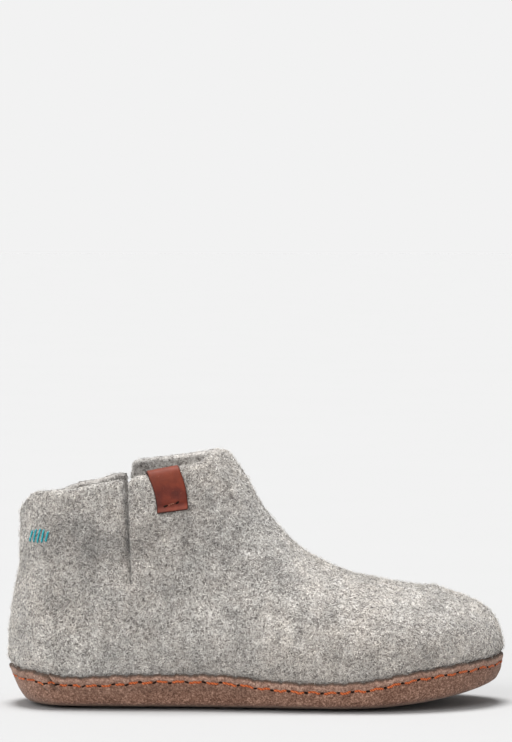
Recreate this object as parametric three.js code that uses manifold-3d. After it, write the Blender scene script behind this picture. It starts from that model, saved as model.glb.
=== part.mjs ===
// A felted wool ankle slipper for a right foot, standing empty on its sole.
// Millimetres. +X points to the toe, +Y to the inner (medial) side, +Z up.
// The origin is on the floor, midway between heel and toe and between the two
// widest points of the forefoot.
//
// Everything comes from one form, the outer shape of the shoe on its last. The
// form is a fan of sections: each starts on the top line, over the toes and up
// the instep, and runs down and back to the floor or to the back of the heel.
import * as THREE from 'three';
import Module from 'manifold-3d';

// ---- driving sizes ----------------------------------------------------------
const LENGTH = 266;          // heel to toe, outside
const TOE_ROUND = 76;        // length of the round end of the toe, in plan
const TOE_SWING = 5;         // how far the toe leans to the inner side
const EDGE_ROUND = 12;       // radius where the form turns in to the floor
const SPRING_FROM = 176;     // the sole leaves the floor here, measured from the heel
const SPRING_RISE = 0.00135; // and rises as the square of the distance
const NOSE_Z = 29;           // height of the foremost point
const TO_MIDDLE = 0.42;      // from the line heel to ball to the middle of the widest points

const FELT = 5;              // wall of the felt
const FELT_LOW = 4.2;        // felt pressed thinner inside the sole
const SUEDE_RIM = 2.4;       // suede of the rim
const SUEDE_FLOOR = 3.2;     // suede under the foot
const RIM_SET = 0.4;         // the rim lies this far inside the felt above it
const GAP = 0.3;             // clearance between pieces
const MARGIN = 5;            // felt turned in under the foot, beyond the corner
const INSOLE = 4;            // felt insole, above the turned-in margin

const COLLAR_BACK = 107.8;   // collar edge at the heel, carried to x = 0
const COLLAR_SLOPE = 0.245;  // and its rise towards the instep

const SLIT = { topX: 64.2, lowX: 67.3, lowZ: 66, topGap: 2.6, lowGap: 0.7 };
const TAB = { topX: 83.7, lowX: 89.0, lowZ: 104.7, wide: 17, thick: 1.6, lean: 0.12 };

const AROUND = 20;           // points down each side of a section

// ---- tables, all measured from the back of the heel ---------------------------
// Sections: where each starts on the top line, how far it leans back from the
// upright (degrees), how far below the top line it reaches its full width, and
// how many steps the form takes to the next row. They crowd at the heel's corner.
const SECTIONS = [
  { topX: 265.4, topZ: 35.0, lean: 0, crown: 7, steps: 1 },
  { topX: 263.2, topZ: 42.3, lean: 0, crown: 13, steps: 1 },
  { topX: 258.5, topZ: 50.0, lean: 0, crown: 21, steps: 1 },
  { topX: 251.0, topZ: 55.2, lean: 0, crown: 27, steps: 1 },
  { topX: 240.0, topZ: 59.4, lean: 0, crown: 31, steps: 1 },
  { topX: 227.0, topZ: 62.5, lean: 0, crown: 34, steps: 1 },
  { topX: 212.0, topZ: 64.9, lean: 1, crown: 36, steps: 1 },
  { topX: 197.0, topZ: 67.6, lean: 4, crown: 38, steps: 1 },
  { topX: 183.0, topZ: 71.0, lean: 10, crown: 40, steps: 1 },
  { topX: 170.0, topZ: 76.6, lean: 18, crown: 42, steps: 1 },
  { topX: 158.0, topZ: 83.8, lean: 27, crown: 43, steps: 2 },
  { topX: 148.0, topZ: 93.2, lean: 36, crown: 43, steps: 2 },
  { topX: 140.0, topZ: 102.4, lean: 44, crown: 42, steps: 4 },
  { topX: 134.5, topZ: 111.0, lean: 51, crown: 40, steps: 5 },
  { topX: 130.0, topZ: 119.4, lean: 57.5, crown: 38, steps: 3 },
  { topX: 125.6, topZ: 126.4, lean: 64.5, crown: 36, steps: 2 },
  { topX: 121.4, topZ: 131.8, lean: 71, crown: 34, steps: 1 },
  { topX: 117.5, topZ: 136.6, lean: 76.2, crown: 33, steps: 1 },
  { topX: 112.5, topZ: 143.5, lean: 79.5, crown: 32, steps: 1 },
  { topX: 107.0, topZ: 151.0, lean: 82, crown: 32, steps: 1 },
];
// Plan: half widths at the widest level, before heel and toe are rounded off.
const PLAN = [
  { x: 0, outer: 33.5, inner: 33.5 },
  { x: 30, outer: 34.5, inner: 34.0 },
  { x: 60, outer: 37.0, inner: 36.0 },
  { x: 95, outer: 38.6, inner: 35.6 },
  { x: 125, outer: 42.0, inner: 38.4 },
  { x: 155, outer: 46.8, inner: 43.6 },
  { x: 185, outer: 49.8, inner: 47.4 },
  { x: 215, outer: 50.4, inner: 48.2 },
  { x: 266, outer: 50.0, inner: 48.0 },
];
// Height: share of the plan width, where the back of the heel stands, and the
// length of the round end of the heel in plan. The collar closes in at the back.
const HEIGHTS = [
  { z: 0, share: 0.965, back: 6.6, heel: 31 },
  { z: 6, share: 0.972, back: 5.2, heel: 31 },
  { z: 12, share: 0.980, back: 3.9, heel: 31 },
  { z: 17, share: 0.987, back: 1.7, heel: 31 },
  { z: 21, share: 0.991, back: 0.9, heel: 31 },
  { z: 27, share: 0.997, back: 0.4, heel: 31 },
  { z: 36, share: 1.0, back: 0.0, heel: 31 },
  { z: 50, share: 0.985, back: 1.0, heel: 31 },
  { z: 65, share: 0.955, back: 3.6, heel: 32 },
  { z: 80, share: 0.91, back: 6.0, heel: 35 },
  { z: 95, share: 0.86, back: 6.5, heel: 41 },
  { z: 112, share: 0.80, back: 6.8, heel: 48 },
  { z: 150, share: 0.74, back: 8.5, heel: 52 },
];
// Front of the toe below the foremost point.
const NOSE = [
  { z: 0, front: 261.0 },
  { z: 12, front: 263.4 },
  { z: 20, front: 265.0 },
  { z: 26, front: 265.9 },
  { z: 40, front: 266.0 },
];
// Top edge of the suede rim.
const RIM = [
  { x: 0, z: 20.8 },
  { x: 14, z: 19.4 },
  { x: 26, z: 17.9 },
  { x: 36, z: 17.1 },
  { x: 48, z: 17.6 },
  { x: 62, z: 18.4 },
  { x: 90, z: 18.8 },
  { x: 112, z: 18.9 },
  { x: 140, z: 16.2 },
  { x: 167, z: 15.0 },
  { x: 190, z: 16.2 },
  { x: 204, z: 18.6 },
  { x: 216, z: 20.7 },
  { x: 235, z: 23.1 },
  { x: 266, z: 26.2 },
];
// The outsole's lower edge on the sides and toe: how far it is drawn in at each
// height above the floor. It is crisp, and the underside is a little domed.
const SOLE_EDGE = [
  { h: 0, in: 19.0 },
  { h: 0.45, in: 14.5 },
  { h: 0.95, in: 10.4 },
  { h: 1.45, in: 7.0 },
  { h: 1.95, in: 4.3 },
  { h: 2.5, in: 2.4 },
  { h: 3.3, in: 1.2 },
  { h: 4.5, in: 0.5 },
  { h: 6.5, in: 0.12 },
  { h: 9, in: 0 },
  { h: 60, in: 0 },
];

// ---- interpolation --------------------------------------------------------------
// A smooth curve through one column of a table, by the value of another.
function read(table, by, key, at) {
  const last = table.length - 1;
  if (at <= table[0][by]) return table[0][key];
  if (at >= table[last][by]) return table[last][key];
  let i = 0;
  while (table[i + 1][by] < at) i += 1;
  const slope = (a, b) => (table[b][key] - table[a][key]) / (table[b][by] - table[a][by]);
  const steady = (k) => {
    if (k === 0) return slope(0, 1);
    if (k === last) return slope(last - 1, last);
    const before = slope(k - 1, k), after = slope(k, k + 1);
    return before * after <= 0 ? 0 : (2 * before * after) / (before + after);
  };
  const step = table[i + 1][by] - table[i][by], t = (at - table[i][by]) / step;
  const a = table[i][key], b = table[i + 1][key], ma = steady(i) * step, mb = steady(i + 1) * step;
  return ((2 * t - 3) * t * t + 1) * a + (((t - 2) * t + 1) * t) * ma + (3 - 2 * t) * t * t * b + (t - 1) * t * t * mb;
}

// The same by row number, rounder, for the fan of sections.
function row(table, key, at) {
  const last = table.length - 1, i = Math.min(Math.floor(at), last - 1), t = at - i;
  const v = (k) => {
    if (k < 0) return 2 * table[0][key] - table[1][key];
    return k > last ? 2 * table[last][key] - table[last - 1][key] : table[k][key];
  };
  const [a, b, c, d] = [v(i - 1), v(i), v(i + 1), v(i + 2)];
  return 0.5 * (2 * b + (c - a) * t + (2 * a - 5 * b + 4 * c - d) * t * t + (3 * b - a - 3 * c + d) * t * t * t);
}

// A quarter of an ellipse: 0 at the edge, 1 from the far end of the round on.
function round(share) {
  const rest = 1 - Math.min(Math.max(share, 0), 1);
  return Math.sqrt(1 - rest * rest);
}

const floorLine = (x) => SPRING_RISE * Math.max(0, x - SPRING_FROM) ** 2;
const collarLine = (x) => COLLAR_BACK + COLLAR_SLOPE * x;
const rimLine = (x) => read(RIM, 'x', 'z', Math.min(Math.max(x, 0), LENGTH));
const swing = (x) => TOE_SWING * Math.max(0, (x - 150) / (LENGTH - 150)) ** 2;

// How far the outline draws in at a height above the floor, where the sole turns up.
function drawnIn(height) {
  const left = EDGE_ROUND - Math.min(Math.max(height, 0), EDGE_ROUND);
  return EDGE_ROUND - Math.sqrt(EDGE_ROUND * EDGE_ROUND - left * left);
}

// The same for the outsole, sides and toe.
const crisp = (height) => read(SOLE_EDGE, 'h', 'in', height);

// Half width of the form at a point of the side view, without the crown. The
// heel's end is always turned up round.
function halfWidth(side, x, z, edge) {
  const inset = edge(z - floorLine(x)), heelInset = drawnIn(z - floorLine(x));
  const wide = read(PLAN, 'x', side, x) * read(HEIGHTS, 'z', 'share', z) - inset;
  const heel = round((x - read(HEIGHTS, 'z', 'back', z) - heelInset) / (read(HEIGHTS, 'z', 'heel', z) - heelInset));
  const toe = round((read(NOSE, 'z', 'front', z) - x - inset) / (TOE_ROUND - inset));
  return wide * heel * toe;
}

// ---- one section of the fan ---------------------------------------------------
// Points in order round the section, outer side first and down, then back up the
// inner side. The first point is on the top line.
function section(at, count, edge) {
  const topX = row(SECTIONS, 'topX', at), topZ = row(SECTIONS, 'topZ', at);
  const lean = THREE.MathUtils.degToRad(row(SECTIONS, 'lean', at)), crown = row(SECTIONS, 'crown', at);
  const place = (d) => [topX - d * Math.sin(lean), topZ - d * Math.cos(lean)];
  const inside = (d) => {
    const [x, z] = place(d);
    return z >= floorLine(x) && x > read(HEIGHTS, 'z', 'back', z) + drawnIn(z - floorLine(x))
      && x < read(NOSE, 'z', 'front', z) - edge(z - floorLine(x));
  };
  let near = 0.5, far = 0.5;
  while (inside(far)) far += 1;
  for (let i = 0; i < 40; i += 1) {
    const middle = (near + far) / 2;
    if (inside(middle)) near = middle; else far = middle;
  }
  const deep = near;
  const half = (side) => {
    const dense = [], steps = 240;
    for (let i = 0; i <= steps; i += 1) {
      const d = (deep * (1 - Math.cos((Math.PI * i) / steps))) / 2;
      const [x, z] = place(d);
      dense.push([d, halfWidth(side, x, z, edge) * round(d / Math.min(crown, deep * 0.6))]);
    }
    const flat = dense[steps][1];
    for (let i = 1; i <= 20; i += 1) dense.push([deep, flat * (1 - i / 20)]);
    // equal steps along the line, closer together where it turns
    const weight = [0];
    for (let i = 1; i < dense.length; i += 1) {
      const [d0, w0] = dense[i - 1], [d1, w1] = dense[i];
      let turn = 0;
      if (i > 1) {
        const before = Math.atan2(w0 - dense[i - 2][1], d0 - dense[i - 2][0]);
        const after = Math.atan2(w1 - w0, d1 - d0);
        turn = Math.hypot(w1 - w0, d1 - d0) > 1e-9 && Math.hypot(w0 - dense[i - 2][1], d0 - dense[i - 2][0]) > 1e-9
          ? Math.abs(after - before) : 0;
      }
      weight.push(weight[i - 1] + Math.hypot(w1 - w0, d1 - d0) + 14 * Math.min(turn, 0.5));
    }
    const points = [], total = weight[weight.length - 1];
    let k = 1;
    for (let j = 0; j <= count; j += 1) {
      const want = (total * j) / count;
      while (k < weight.length - 1 && weight[k] < want) k += 1;
      const t = Math.min(Math.max((want - weight[k - 1]) / Math.max(weight[k] - weight[k - 1], 1e-12), 0), 1);
      points.push([0, 1].map((c) => dense[k - 1][c] + t * (dense[k][c] - dense[k - 1][c])));
    }
    return points;
  };
  const outer = half('outer'), inner = half('inner');
  const spot = ([d, w], sign) => {
    const [x, z] = place(d);
    return new THREE.Vector3(x, swing(x) + sign * w, z);
  };
  const ring = [];
  for (let j = 0; j <= count; j += 1) ring.push(spot(outer[j], -1));
  for (let j = count - 1; j > 0; j -= 1) ring.push(spot(inner[j], 1));
  ring[0].y = swing(ring[0].x);
  ring[count].y = swing(ring[count].x);
  return ring;
}

// ---- the form and its offsets --------------------------------------------------
const NOSE_POINT = new THREE.Vector3(LENGTH, swing(LENGTH), NOSE_Z);

function fan(edge, around) {
  const rings = [];
  SECTIONS.slice(0, -1).forEach(({ steps }, i) => {
    for (let k = 0; k < steps; k += 1) rings.push(section(i + k / steps, around, edge));
  });
  rings.push(section(SECTIONS.length - 1, around, edge));
  const normals = rings.map((ring, i) => ring.map((point, j) => {
    const before = i > 0 ? rings[i - 1][j] : NOSE_POINT;
    const after = i < rings.length - 1 ? rings[i + 1][j] : point;
    const along = new THREE.Vector3().subVectors(before, after);
    const count = ring.length;
    const round2 = new THREE.Vector3().subVectors(ring[(j + 1) % count], ring[(j + count - 1) % count]);
    return new THREE.Vector3().crossVectors(round2, along).normalize();
  }));
  return { rings, normals };
}
const rounded = fan(drawnIn, AROUND);
const edged = fan(crisp, AROUND + 4);

// The form moved out by an amount that may depend on place and direction.
function grid(amount, { rings, normals }) {
  const moved = rings.map((ring, i) => ring.map((point, j) => {
    const n = normals[i][j];
    return point.clone().addScaledVector(n, amount(point, n));
  }));
  const ahead = new THREE.Vector3(1, 0, 0);
  return { moved, nose: NOSE_POINT.clone().addScaledVector(ahead, amount(NOSE_POINT, ahead)) };
}

function closed(amount, form = rounded) {
  const { moved, nose } = grid(amount, form);
  const count = moved[0].length, points = [nose, ...moved.flat()], faces = [];
  const at = (i, j) => 1 + i * count + (((j % count) + count) % count);
  for (let j = 0; j < count; j += 1) faces.push([0, at(0, j), at(0, j + 1)]);
  for (let i = 0; i < moved.length - 1; i += 1) {
    for (let j = 0; j < count; j += 1) {
      // the diagonals mirror each other on the two sides
      if (j < count / 2) faces.push([at(i, j), at(i + 1, j), at(i + 1, j + 1)], [at(i, j), at(i + 1, j + 1), at(i, j + 1)]);
      else faces.push([at(i, j), at(i + 1, j), at(i, j + 1)], [at(i, j + 1), at(i + 1, j), at(i + 1, j + 1)]);
    }
  }
  const middle = points.length, lastRing = moved[moved.length - 1];
  points.push(lastRing.reduce((sum, p) => sum.add(p), new THREE.Vector3()).divideScalar(count));
  for (let j = 0; j < count; j += 1) faces.push([middle, at(moved.length - 1, j + 1), at(moved.length - 1, j)]);
  return { points, faces };
}

// ---- solids ---------------------------------------------------------------------
const wasm = await Module();
wasm.setup();

function solid({ points, faces }) {
  const vertProperties = new Float32Array(points.length * 3);
  points.forEach((p, i) => vertProperties.set([p.x, p.y, p.z], i * 3));
  return new wasm.Manifold(new wasm.Mesh({ numProp: 3, vertProperties, triVerts: new Uint32Array(faces.flat()) }));
}

// A solid from a three.js geometry, its shared corners merged.
function fromGeometry(geometry) {
  const place = geometry.attributes.position, index = geometry.index, seen = new Map(), points = [], faces = [];
  const number = (k) => {
    const key = [place.getX(k), place.getY(k), place.getZ(k)].map((v) => v.toFixed(4)).join();
    if (!seen.has(key)) {
      seen.set(key, points.length);
      points.push(new THREE.Vector3(place.getX(k), place.getY(k), place.getZ(k)));
    }
    return seen.get(key);
  };
  const total = index ? index.count : place.count;
  for (let k = 0; k < total; k += 3) {
    const face = [k, k + 1, k + 2].map((c) => number(index ? index.getX(c) : c));
    if (new Set(face).size === 3) faces.push(face);
  }
  return solid({ points, faces });
}

// A block whose side view is the given outline (x, z), from y = from to y = to.
function block(outline, from = -90, to = 90) {
  const shape = new THREE.Shape(outline.map(([x, z]) => new THREE.Vector2(x, z)));
  const geometry = new THREE.ExtrudeGeometry(shape, { depth: to - from, bevelEnabled: false });
  geometry.rotateX(Math.PI / 2);
  geometry.translate(0, to, 0);
  return fromGeometry(geometry);
}

// The stretch of the side view between two lines over the length of the shoe.
function between(low, high, step = 6) {
  const xs = [];
  for (let x = -20; x <= LENGTH + 20; x += step) xs.push(x);
  return block([...xs.map((x) => [x, low(x)]), ...xs.reverse().map((x) => [x, high(x)])]);
}

const offset = (side, under = side) => closed((p, n) => -(side + (under - side) * Math.max(0, -n.z) ** 2));
const BELOW = () => -30, ABOVE = () => 190;

// outsole: a cup of suede whose rim follows the felt
const rimIn = RIM_SET + SUEDE_RIM;
const cup = solid(closed((p, n) => -RIM_SET * (1 - Math.max(0, -n.z) ** 2), edged));
const cupInside = solid(offset(rimIn, SUEDE_FLOOR));
const outsole = cup.intersect(between(BELOW, rimLine)).subtract(cupInside);

// upper: felt, tucked inside the rim below it, hollow and open under the foot
const whole = solid(closed(() => 0));
const tucked = solid(offset(rimIn + GAP, SUEDE_FLOOR + GAP));
const low = (z) => THREE.MathUtils.smoothstep(32 - z, 0, 18);
const hollowIn = (p) => FELT + (rimIn + GAP + FELT_LOW - FELT) * low(p.z - floorLine(p.x));
const hollow = (more) => solid(closed((p, n) => {
  const side = hollowIn(p) + more, under = SUEDE_FLOOR + GAP + FELT_LOW + more;
  return -(side + (under - side) * Math.max(0, -n.z) ** 2);
}));
// the outline under the foot, drawn in from the widest outline all round
const opening = (more) => {
  const inset = EDGE_ROUND + MARGIN - 1 + more, outline = [];
  const half = (side, x) => (read(PLAN, 'x', side, x) - inset)
    * round((x - inset) / (HEIGHTS[0].heel - inset)) * round((LENGTH - x - inset) / (TOE_ROUND - inset));
  const steps = 24, xs = [];
  for (let i = 0; i <= steps; i += 1) xs.push(inset + ((LENGTH - 2 * inset) * (1 - Math.cos((Math.PI * i) / steps))) / 2);
  xs.forEach((x) => outline.push([x, swing(x) - half('outer', x)]));
  xs.slice(1, -1).reverse().forEach((x) => outline.push([x, swing(x) + half('inner', x)]));
  const shape = new THREE.Shape(outline.map(([x, y]) => new THREE.Vector2(x, y)));
  const geometry = new THREE.ExtrudeGeometry(shape, { depth: 60, bevelEnabled: false });
  geometry.translate(0, 0, -10);
  return fromGeometry(geometry);
};
const marginTop = SUEDE_FLOOR + GAP + FELT_LOW;
const inCup = (line, above) => between((x) => floorLine(x) + line, (x) => floorLine(x) + above);

const slit = block([
  [SLIT.lowX - SLIT.lowGap / 2, SLIT.lowZ],
  [SLIT.lowX + SLIT.lowGap / 2, SLIT.lowZ],
  [SLIT.topX + SLIT.topGap / 2, collarLine(SLIT.topX)],
  [SLIT.topX + SLIT.topGap / 2, 170],
  [SLIT.topX - SLIT.topGap / 2, 170],
  [SLIT.topX - SLIT.topGap / 2, collarLine(SLIT.topX)],
]);
const inside = hollow(0);
const upper = whole.intersect(between((x) => rimLine(x) + GAP, collarLine))
  .add(tucked.intersect(between(BELOW, (x) => rimLine(x) + 3)))
  .subtract(inside)
  .subtract(opening(0).intersect(inCup(-5, marginTop + 2)))
  .subtract(slit);

// insole: felt that fills the opening and covers the turned-in margin
const insole = hollow(GAP).intersect(inCup(marginTop + GAP - 2, marginTop + GAP + INSOLE))
  .add(opening(GAP).intersect(inCup(SUEDE_FLOOR + GAP, marginTop + GAP + 1)))
  .intersect(tucked);

// side tab: leather folded over the outer collar edge, hanging square to it
const proud = (out) => solid(closed(() => out));
const edge = (sign, z) => {
  const share = (z - TAB.lowZ) / (collarLine(TAB.topX) - TAB.lowZ);
  return TAB.lowX + (TAB.topX - TAB.lowX) * share + sign * (TAB.wide / 2);
};
const tabOutline = [
  [edge(-1, TAB.lowZ), TAB.lowZ - (TAB.lean * TAB.wide) / 2],
  [edge(1, TAB.lowZ), TAB.lowZ + (TAB.lean * TAB.wide) / 2],
  [edge(1, 145), 145],
  [edge(-1, 145), 145],
];
const felted = proud(GAP).intersect(between(BELOW, (x) => collarLine(x) + GAP)).subtract(hollow(GAP));
const tab = proud(GAP + TAB.thick)
  .intersect(between(BELOW, (x) => collarLine(x) + GAP + TAB.thick))
  .subtract(hollow(GAP + TAB.thick))
  .subtract(felted)
  .intersect(block(tabOutline, -90, -4));

// ---- scene graph -------------------------------------------------------------------
function mesh(name, made, { colour, roughness }) {
  const { vertProperties, triVerts } = made.getMesh();
  const geometry = new THREE.BufferGeometry();
  geometry.setAttribute('position', new THREE.BufferAttribute(new Float32Array(vertProperties), 3));
  geometry.setIndex(new THREE.BufferAttribute(new Uint32Array(triVerts), 1));
  geometry.computeVertexNormals();
  const piece = new THREE.Mesh(geometry, new THREE.MeshStandardMaterial({ color: colour, roughness, metalness: 0 }));
  piece.name = name;
  return piece;
}

const group = new THREE.Group();
group.add(
  mesh('upper', upper, { colour: 0xaaa5a0, roughness: 0.95 }),
  mesh('outsole', outsole, { colour: 0x7a5c4e, roughness: 0.9 }),
  mesh('insole', insole, { colour: 0xb4aea8, roughness: 0.95 }),
  mesh('side_tab', tab, { colour: 0x764133, roughness: 0.6 }),
);
group.position.set(-LENGTH / 2, TO_MIDDLE, 0);

export default group;
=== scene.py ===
import math

import bpy
import numpy as np
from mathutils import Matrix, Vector
from mathutils.bvhtree import BVHTree


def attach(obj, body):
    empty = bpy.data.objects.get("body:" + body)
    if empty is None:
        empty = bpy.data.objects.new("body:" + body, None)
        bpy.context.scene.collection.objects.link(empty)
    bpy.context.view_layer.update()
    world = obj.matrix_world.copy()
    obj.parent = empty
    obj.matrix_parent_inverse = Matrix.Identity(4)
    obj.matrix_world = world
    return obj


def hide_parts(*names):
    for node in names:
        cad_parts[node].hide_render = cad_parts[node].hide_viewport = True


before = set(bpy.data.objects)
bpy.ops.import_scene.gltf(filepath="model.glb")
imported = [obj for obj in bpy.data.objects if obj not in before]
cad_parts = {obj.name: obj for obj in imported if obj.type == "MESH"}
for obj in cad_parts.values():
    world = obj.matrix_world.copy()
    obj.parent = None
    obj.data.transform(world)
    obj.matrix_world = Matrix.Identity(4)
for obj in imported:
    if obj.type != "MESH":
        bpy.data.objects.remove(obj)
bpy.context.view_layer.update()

# All shapes below are worked out in millimetres from the back of the heel, as in the
# frame's own source, and turned into metres about the frame's origin in one place.
LENGTH, TOE_SWING, EDGE_ROUND, TOE_ROUND = 266.0, 5.0, 12.0, 76.0
SPRING_FROM, SPRING_RISE, NOSE_Z, TO_MIDDLE = 176.0, 0.00135, 29.0, 0.42
FELT, FELT_LOW, SUEDE_RIM, SUEDE_FLOOR, RIM_SET, GAP = 5.0, 4.2, 2.4, 3.2, 0.4, 0.3
MARGIN, INSOLE = 5.0, 4.0
SLIT_TOP_X, SLIT_LOW_X, SLIT_LOW_Z = 64.2, 67.3, 65.0
TAB_WIDE, TAB_THICK = 17.0, 1.6


def table(names, *rows):
    return {name: np.array([row[k] for row in rows], float) for k, name in enumerate(names.split())}


SECTIONS = table(
    "topX topZ lean crown",
    (265.4, 35.0, 0, 7), (263.2, 42.3, 0, 13), (258.5, 50.0, 0, 21), (251.0, 55.2, 0, 27),
    (240.0, 59.4, 0, 31), (227.0, 62.5, 0, 34), (212.0, 64.9, 1, 36), (197.0, 67.6, 4, 38),
    (183.0, 71.0, 10, 40), (170.0, 76.6, 18, 42), (158.0, 83.8, 27, 43), (148.0, 93.2, 36, 43),
    (140.0, 102.4, 44, 42), (134.5, 111.0, 51, 40), (130.0, 119.4, 57.5, 38),
    (125.6, 126.4, 64.5, 36), (121.4, 131.8, 71, 34), (117.5, 136.6, 76.2, 33),
    (112.5, 143.5, 79.5, 32), (107.0, 151.0, 82, 32),
)
RIM_ROW = 17  # the section that lies along the collar
PLAN = table(
    "x outer inner",
    (0, 33.5, 33.5), (30, 34.5, 34.0), (60, 37.0, 36.0), (95, 38.6, 35.6), (125, 42.0, 38.4),
    (155, 46.8, 43.6), (185, 49.8, 47.4), (215, 50.4, 48.2), (266, 50.0, 48.0),
)
HEIGHTS = table(
    "z share back heel",
    (0, 0.965, 6.6, 31), (6, 0.972, 5.2, 31), (12, 0.980, 3.9, 31), (17, 0.987, 1.7, 31),
    (21, 0.991, 0.9, 31), (27, 0.997, 0.4, 31), (36, 1.0, 0.0, 31),
    (50, 0.985, 1.0, 31), (65, 0.955, 3.6, 32), (80, 0.91, 6.0, 35), (95, 0.86, 6.5, 41),
    (112, 0.80, 6.8, 48), (150, 0.74, 8.5, 52),
)
NOSE = table("z front", (0, 261.0), (12, 263.4), (20, 265.0), (26, 265.9), (40, 266.0))
RIM = table(
    "x z",
    (0, 20.8), (14, 19.4), (26, 17.9), (36, 17.1), (48, 17.6), (62, 18.4), (90, 18.8), (112, 18.9),
    (140, 16.2), (167, 15.0), (190, 16.2), (204, 18.6), (216, 20.7), (235, 23.1), (266, 26.2),
)
# How far the stitches run below the rim, down the suede.
STITCH = table(
    "x below",
    (0, 5.2), (14, 5.0), (20, 4.6), (32, 4.0), (42, 4.4), (50, 4.8), (60, 4.6), (73, 3.6), (92, 3.4),
    (110, 3.8), (150, 4.3),
    (180, 4.5), (200, 4.4), (221, 4.0), (250, 4.0), (266, 4.2),
)
# How far the collar's edge lies above a straight line, on the outer and inner walls.
COLLAR_OUTER = table(
    "x lift",
    (6.4, -4.6), (8.5, -1.6), (11, 1.2), (14, 3.0), (18, 2.6), (22, 1.7), (26, 1.2), (31, 0.8), (38.5, -0.1),
    (46, 0.0), (56, -0.5), (60, -0.5), (63.6, -1.0), (65.0, -0.5), (70, -1.1), (73.6, -1.5), (76.6, -2.2),
    (84, -2.3), (90.5, -2.8), (93.5, -1.3), (101, -2.1), (105, -1.5), (107.5, 0.1), (113, 1.0), (118, 0.0),
)
COLLAR_INNER = table(
    "x lift",
    (6.4, -4.0), (9, -1.2), (14, 1.0), (22, -0.1), (28.5, -0.8), (36, 0.4), (44, -0.1), (54, -0.6),
    (62, -0.4), (64.2, -0.6), (65.0, 4.2), (68, 4.6), (74.5, 4.0), (87, 2.3), (98, 1.2), (108, 0.9),
    (113, 1.0), (118, -0.3),
)
# The sole's lower edge: how far it is drawn in at each height. The underside is a little domed.
SOLE_EDGE = table(
    "h in",
    (0, 19.0), (0.45, 14.5), (0.95, 10.4), (1.45, 7.0), (1.95, 4.3), (2.5, 2.4), (3.3, 1.2), (4.5, 0.5),
    (6.5, 0.12), (9, 0.0), (60, 0.0),
)
# Lighter (+) and darker (-) places on the outer side, as in the photo: partly the wool's own tone, partly painted light
# and shade.
TONE_AND_PAINTED_LIGHT = table(
    "x z wide much",
    (30, 92, 14, -0.26), (50, 90, 14, -0.28), (71, 92, 12, -0.22), (92, 78, 15, -0.05), (112, 86, 13, -0.06),
    (104, 107, 9, -0.17), (102, 47, 16, 0.22), (139, 41, 16, 0.20), (15, 30, 13, 0.24), (19, 60, 10, -0.14),
    (34, 67, 9, -0.14), (47, 44, 15, 0.16), (99, 21, 11, -0.16), (217, 36, 10, -0.12), (238, 36, 9, -0.04),
    (165, 62, 15, 0.12), (205, 58, 14, 0.08), (24, 106, 9, 0.12), (60, 108, 8, 0.12), (170, 26, 12, 0.06),
    (28, 72, 8, 0.06), (250, 28, 13, 0.16), (180, 46, 12, 0.05), (66, 30, 14, 0.04), (150, 79, 10, -0.03),
    (111, 56, 12, 0.12), (75, 57, 11, 0.14), (86, 45, 9, 0.06), (125, 40, 10, 0.10), (34, 34, 9, 0.12),
    (208, 24, 11, 0.18), (178, 67, 11, 0.10), (139, 23, 9, -0.16), (165, 35, 9, -0.08), (72, 117, 6, 0.16),
    (137, 64, 8, -0.05), (158, 50, 8, -0.04),
)
# Soft troughs (negative) and ridges along lines of the side view; side -1 is the outer wall.
CREASES = table(
    "x0 z0 x1 z1 wide deep side",
    (114.0, 127.0, 124.0, 108.0, 3.0, 0.9, -1),    # the front edge of the shaft, pinched
    (110.0, 126.5, 118.5, 108.0, 2.6, -0.9, -1),   # and the trough behind it
    (114.0, 127.0, 124.0, 108.0, 3.0, 0.7, 1),
    (110.0, 126.5, 118.5, 108.0, 2.6, -0.7, 1),
    (121.0, 103.0, 140.0, 84.0, 6.0, 0.5, -1),
    (112.0, 100.0, 132.0, 80.0, 8.0, -0.6, -1),
    (96.0, 66.0, 132.0, 60.0, 10.0, -0.7, -1),     # the bend over the instep
    (150.0, 50.0, 186.0, 58.0, 11.0, -0.5, -1),
    (112.0, 98.0, 134.0, 78.0, 8.0, -0.6, 1),
    (96.0, 66.0, 132.0, 60.0, 10.0, -0.6, 1),
    (20.0, 84.0, 34.0, 48.0, 9.0, -0.6, -1),       # the hollow behind the ankle
    (8.0, 62.0, 26.0, 34.0, 8.0, 0.5, -1),
    (20.0, 84.0, 34.0, 48.0, 9.0, -0.6, 1),
    (196.0, 46.0, 232.0, 40.0, 9.0, 0.5, -1),
    (214.0, 58.0, 240.0, 50.0, 7.0, -0.5, -1),
)


def reader(of, by, key):
    x, y = of[by], of[key]
    step = np.diff(x)
    slope = np.diff(y) / step
    m = np.empty_like(y)
    m[0], m[-1] = slope[0], slope[-1]
    a, b = slope[:-1], slope[1:]
    both = np.where(a * b <= 0, 1.0, a + b)
    m[1:-1] = np.where(a * b <= 0, 0.0, 2 * a * b / both)

    def at(v):
        v = np.clip(np.asarray(v, float), x[0], x[-1])
        i = np.clip(np.searchsorted(x, v, side="left") - 1, 0, len(step) - 1)
        t = (v - x[i]) / step[i]
        ma, mb = m[i] * step[i], m[i + 1] * step[i]
        return ((2 * t - 3) * t * t + 1) * y[i] + ((t - 2) * t + 1) * t * ma + (3 - 2 * t) * t * t * y[i + 1] + (t - 1) * t * t * mb

    return at


def by_row(key, at):
    y = SECTIONS[key]
    y = np.concatenate([[2 * y[0] - y[1]], y, [2 * y[-1] - y[-2]]])
    at = np.asarray(at, float)
    i = np.clip(np.floor(at).astype(int), 0, len(y) - 4)
    t = at - i
    a, b, c, d = y[i], y[i + 1], y[i + 2], y[i + 3]
    return 0.5 * (2 * b + (c - a) * t + (2 * a - 5 * b + 4 * c - d) * t * t + (3 * b - a - 3 * c + d) * t**3)


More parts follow.
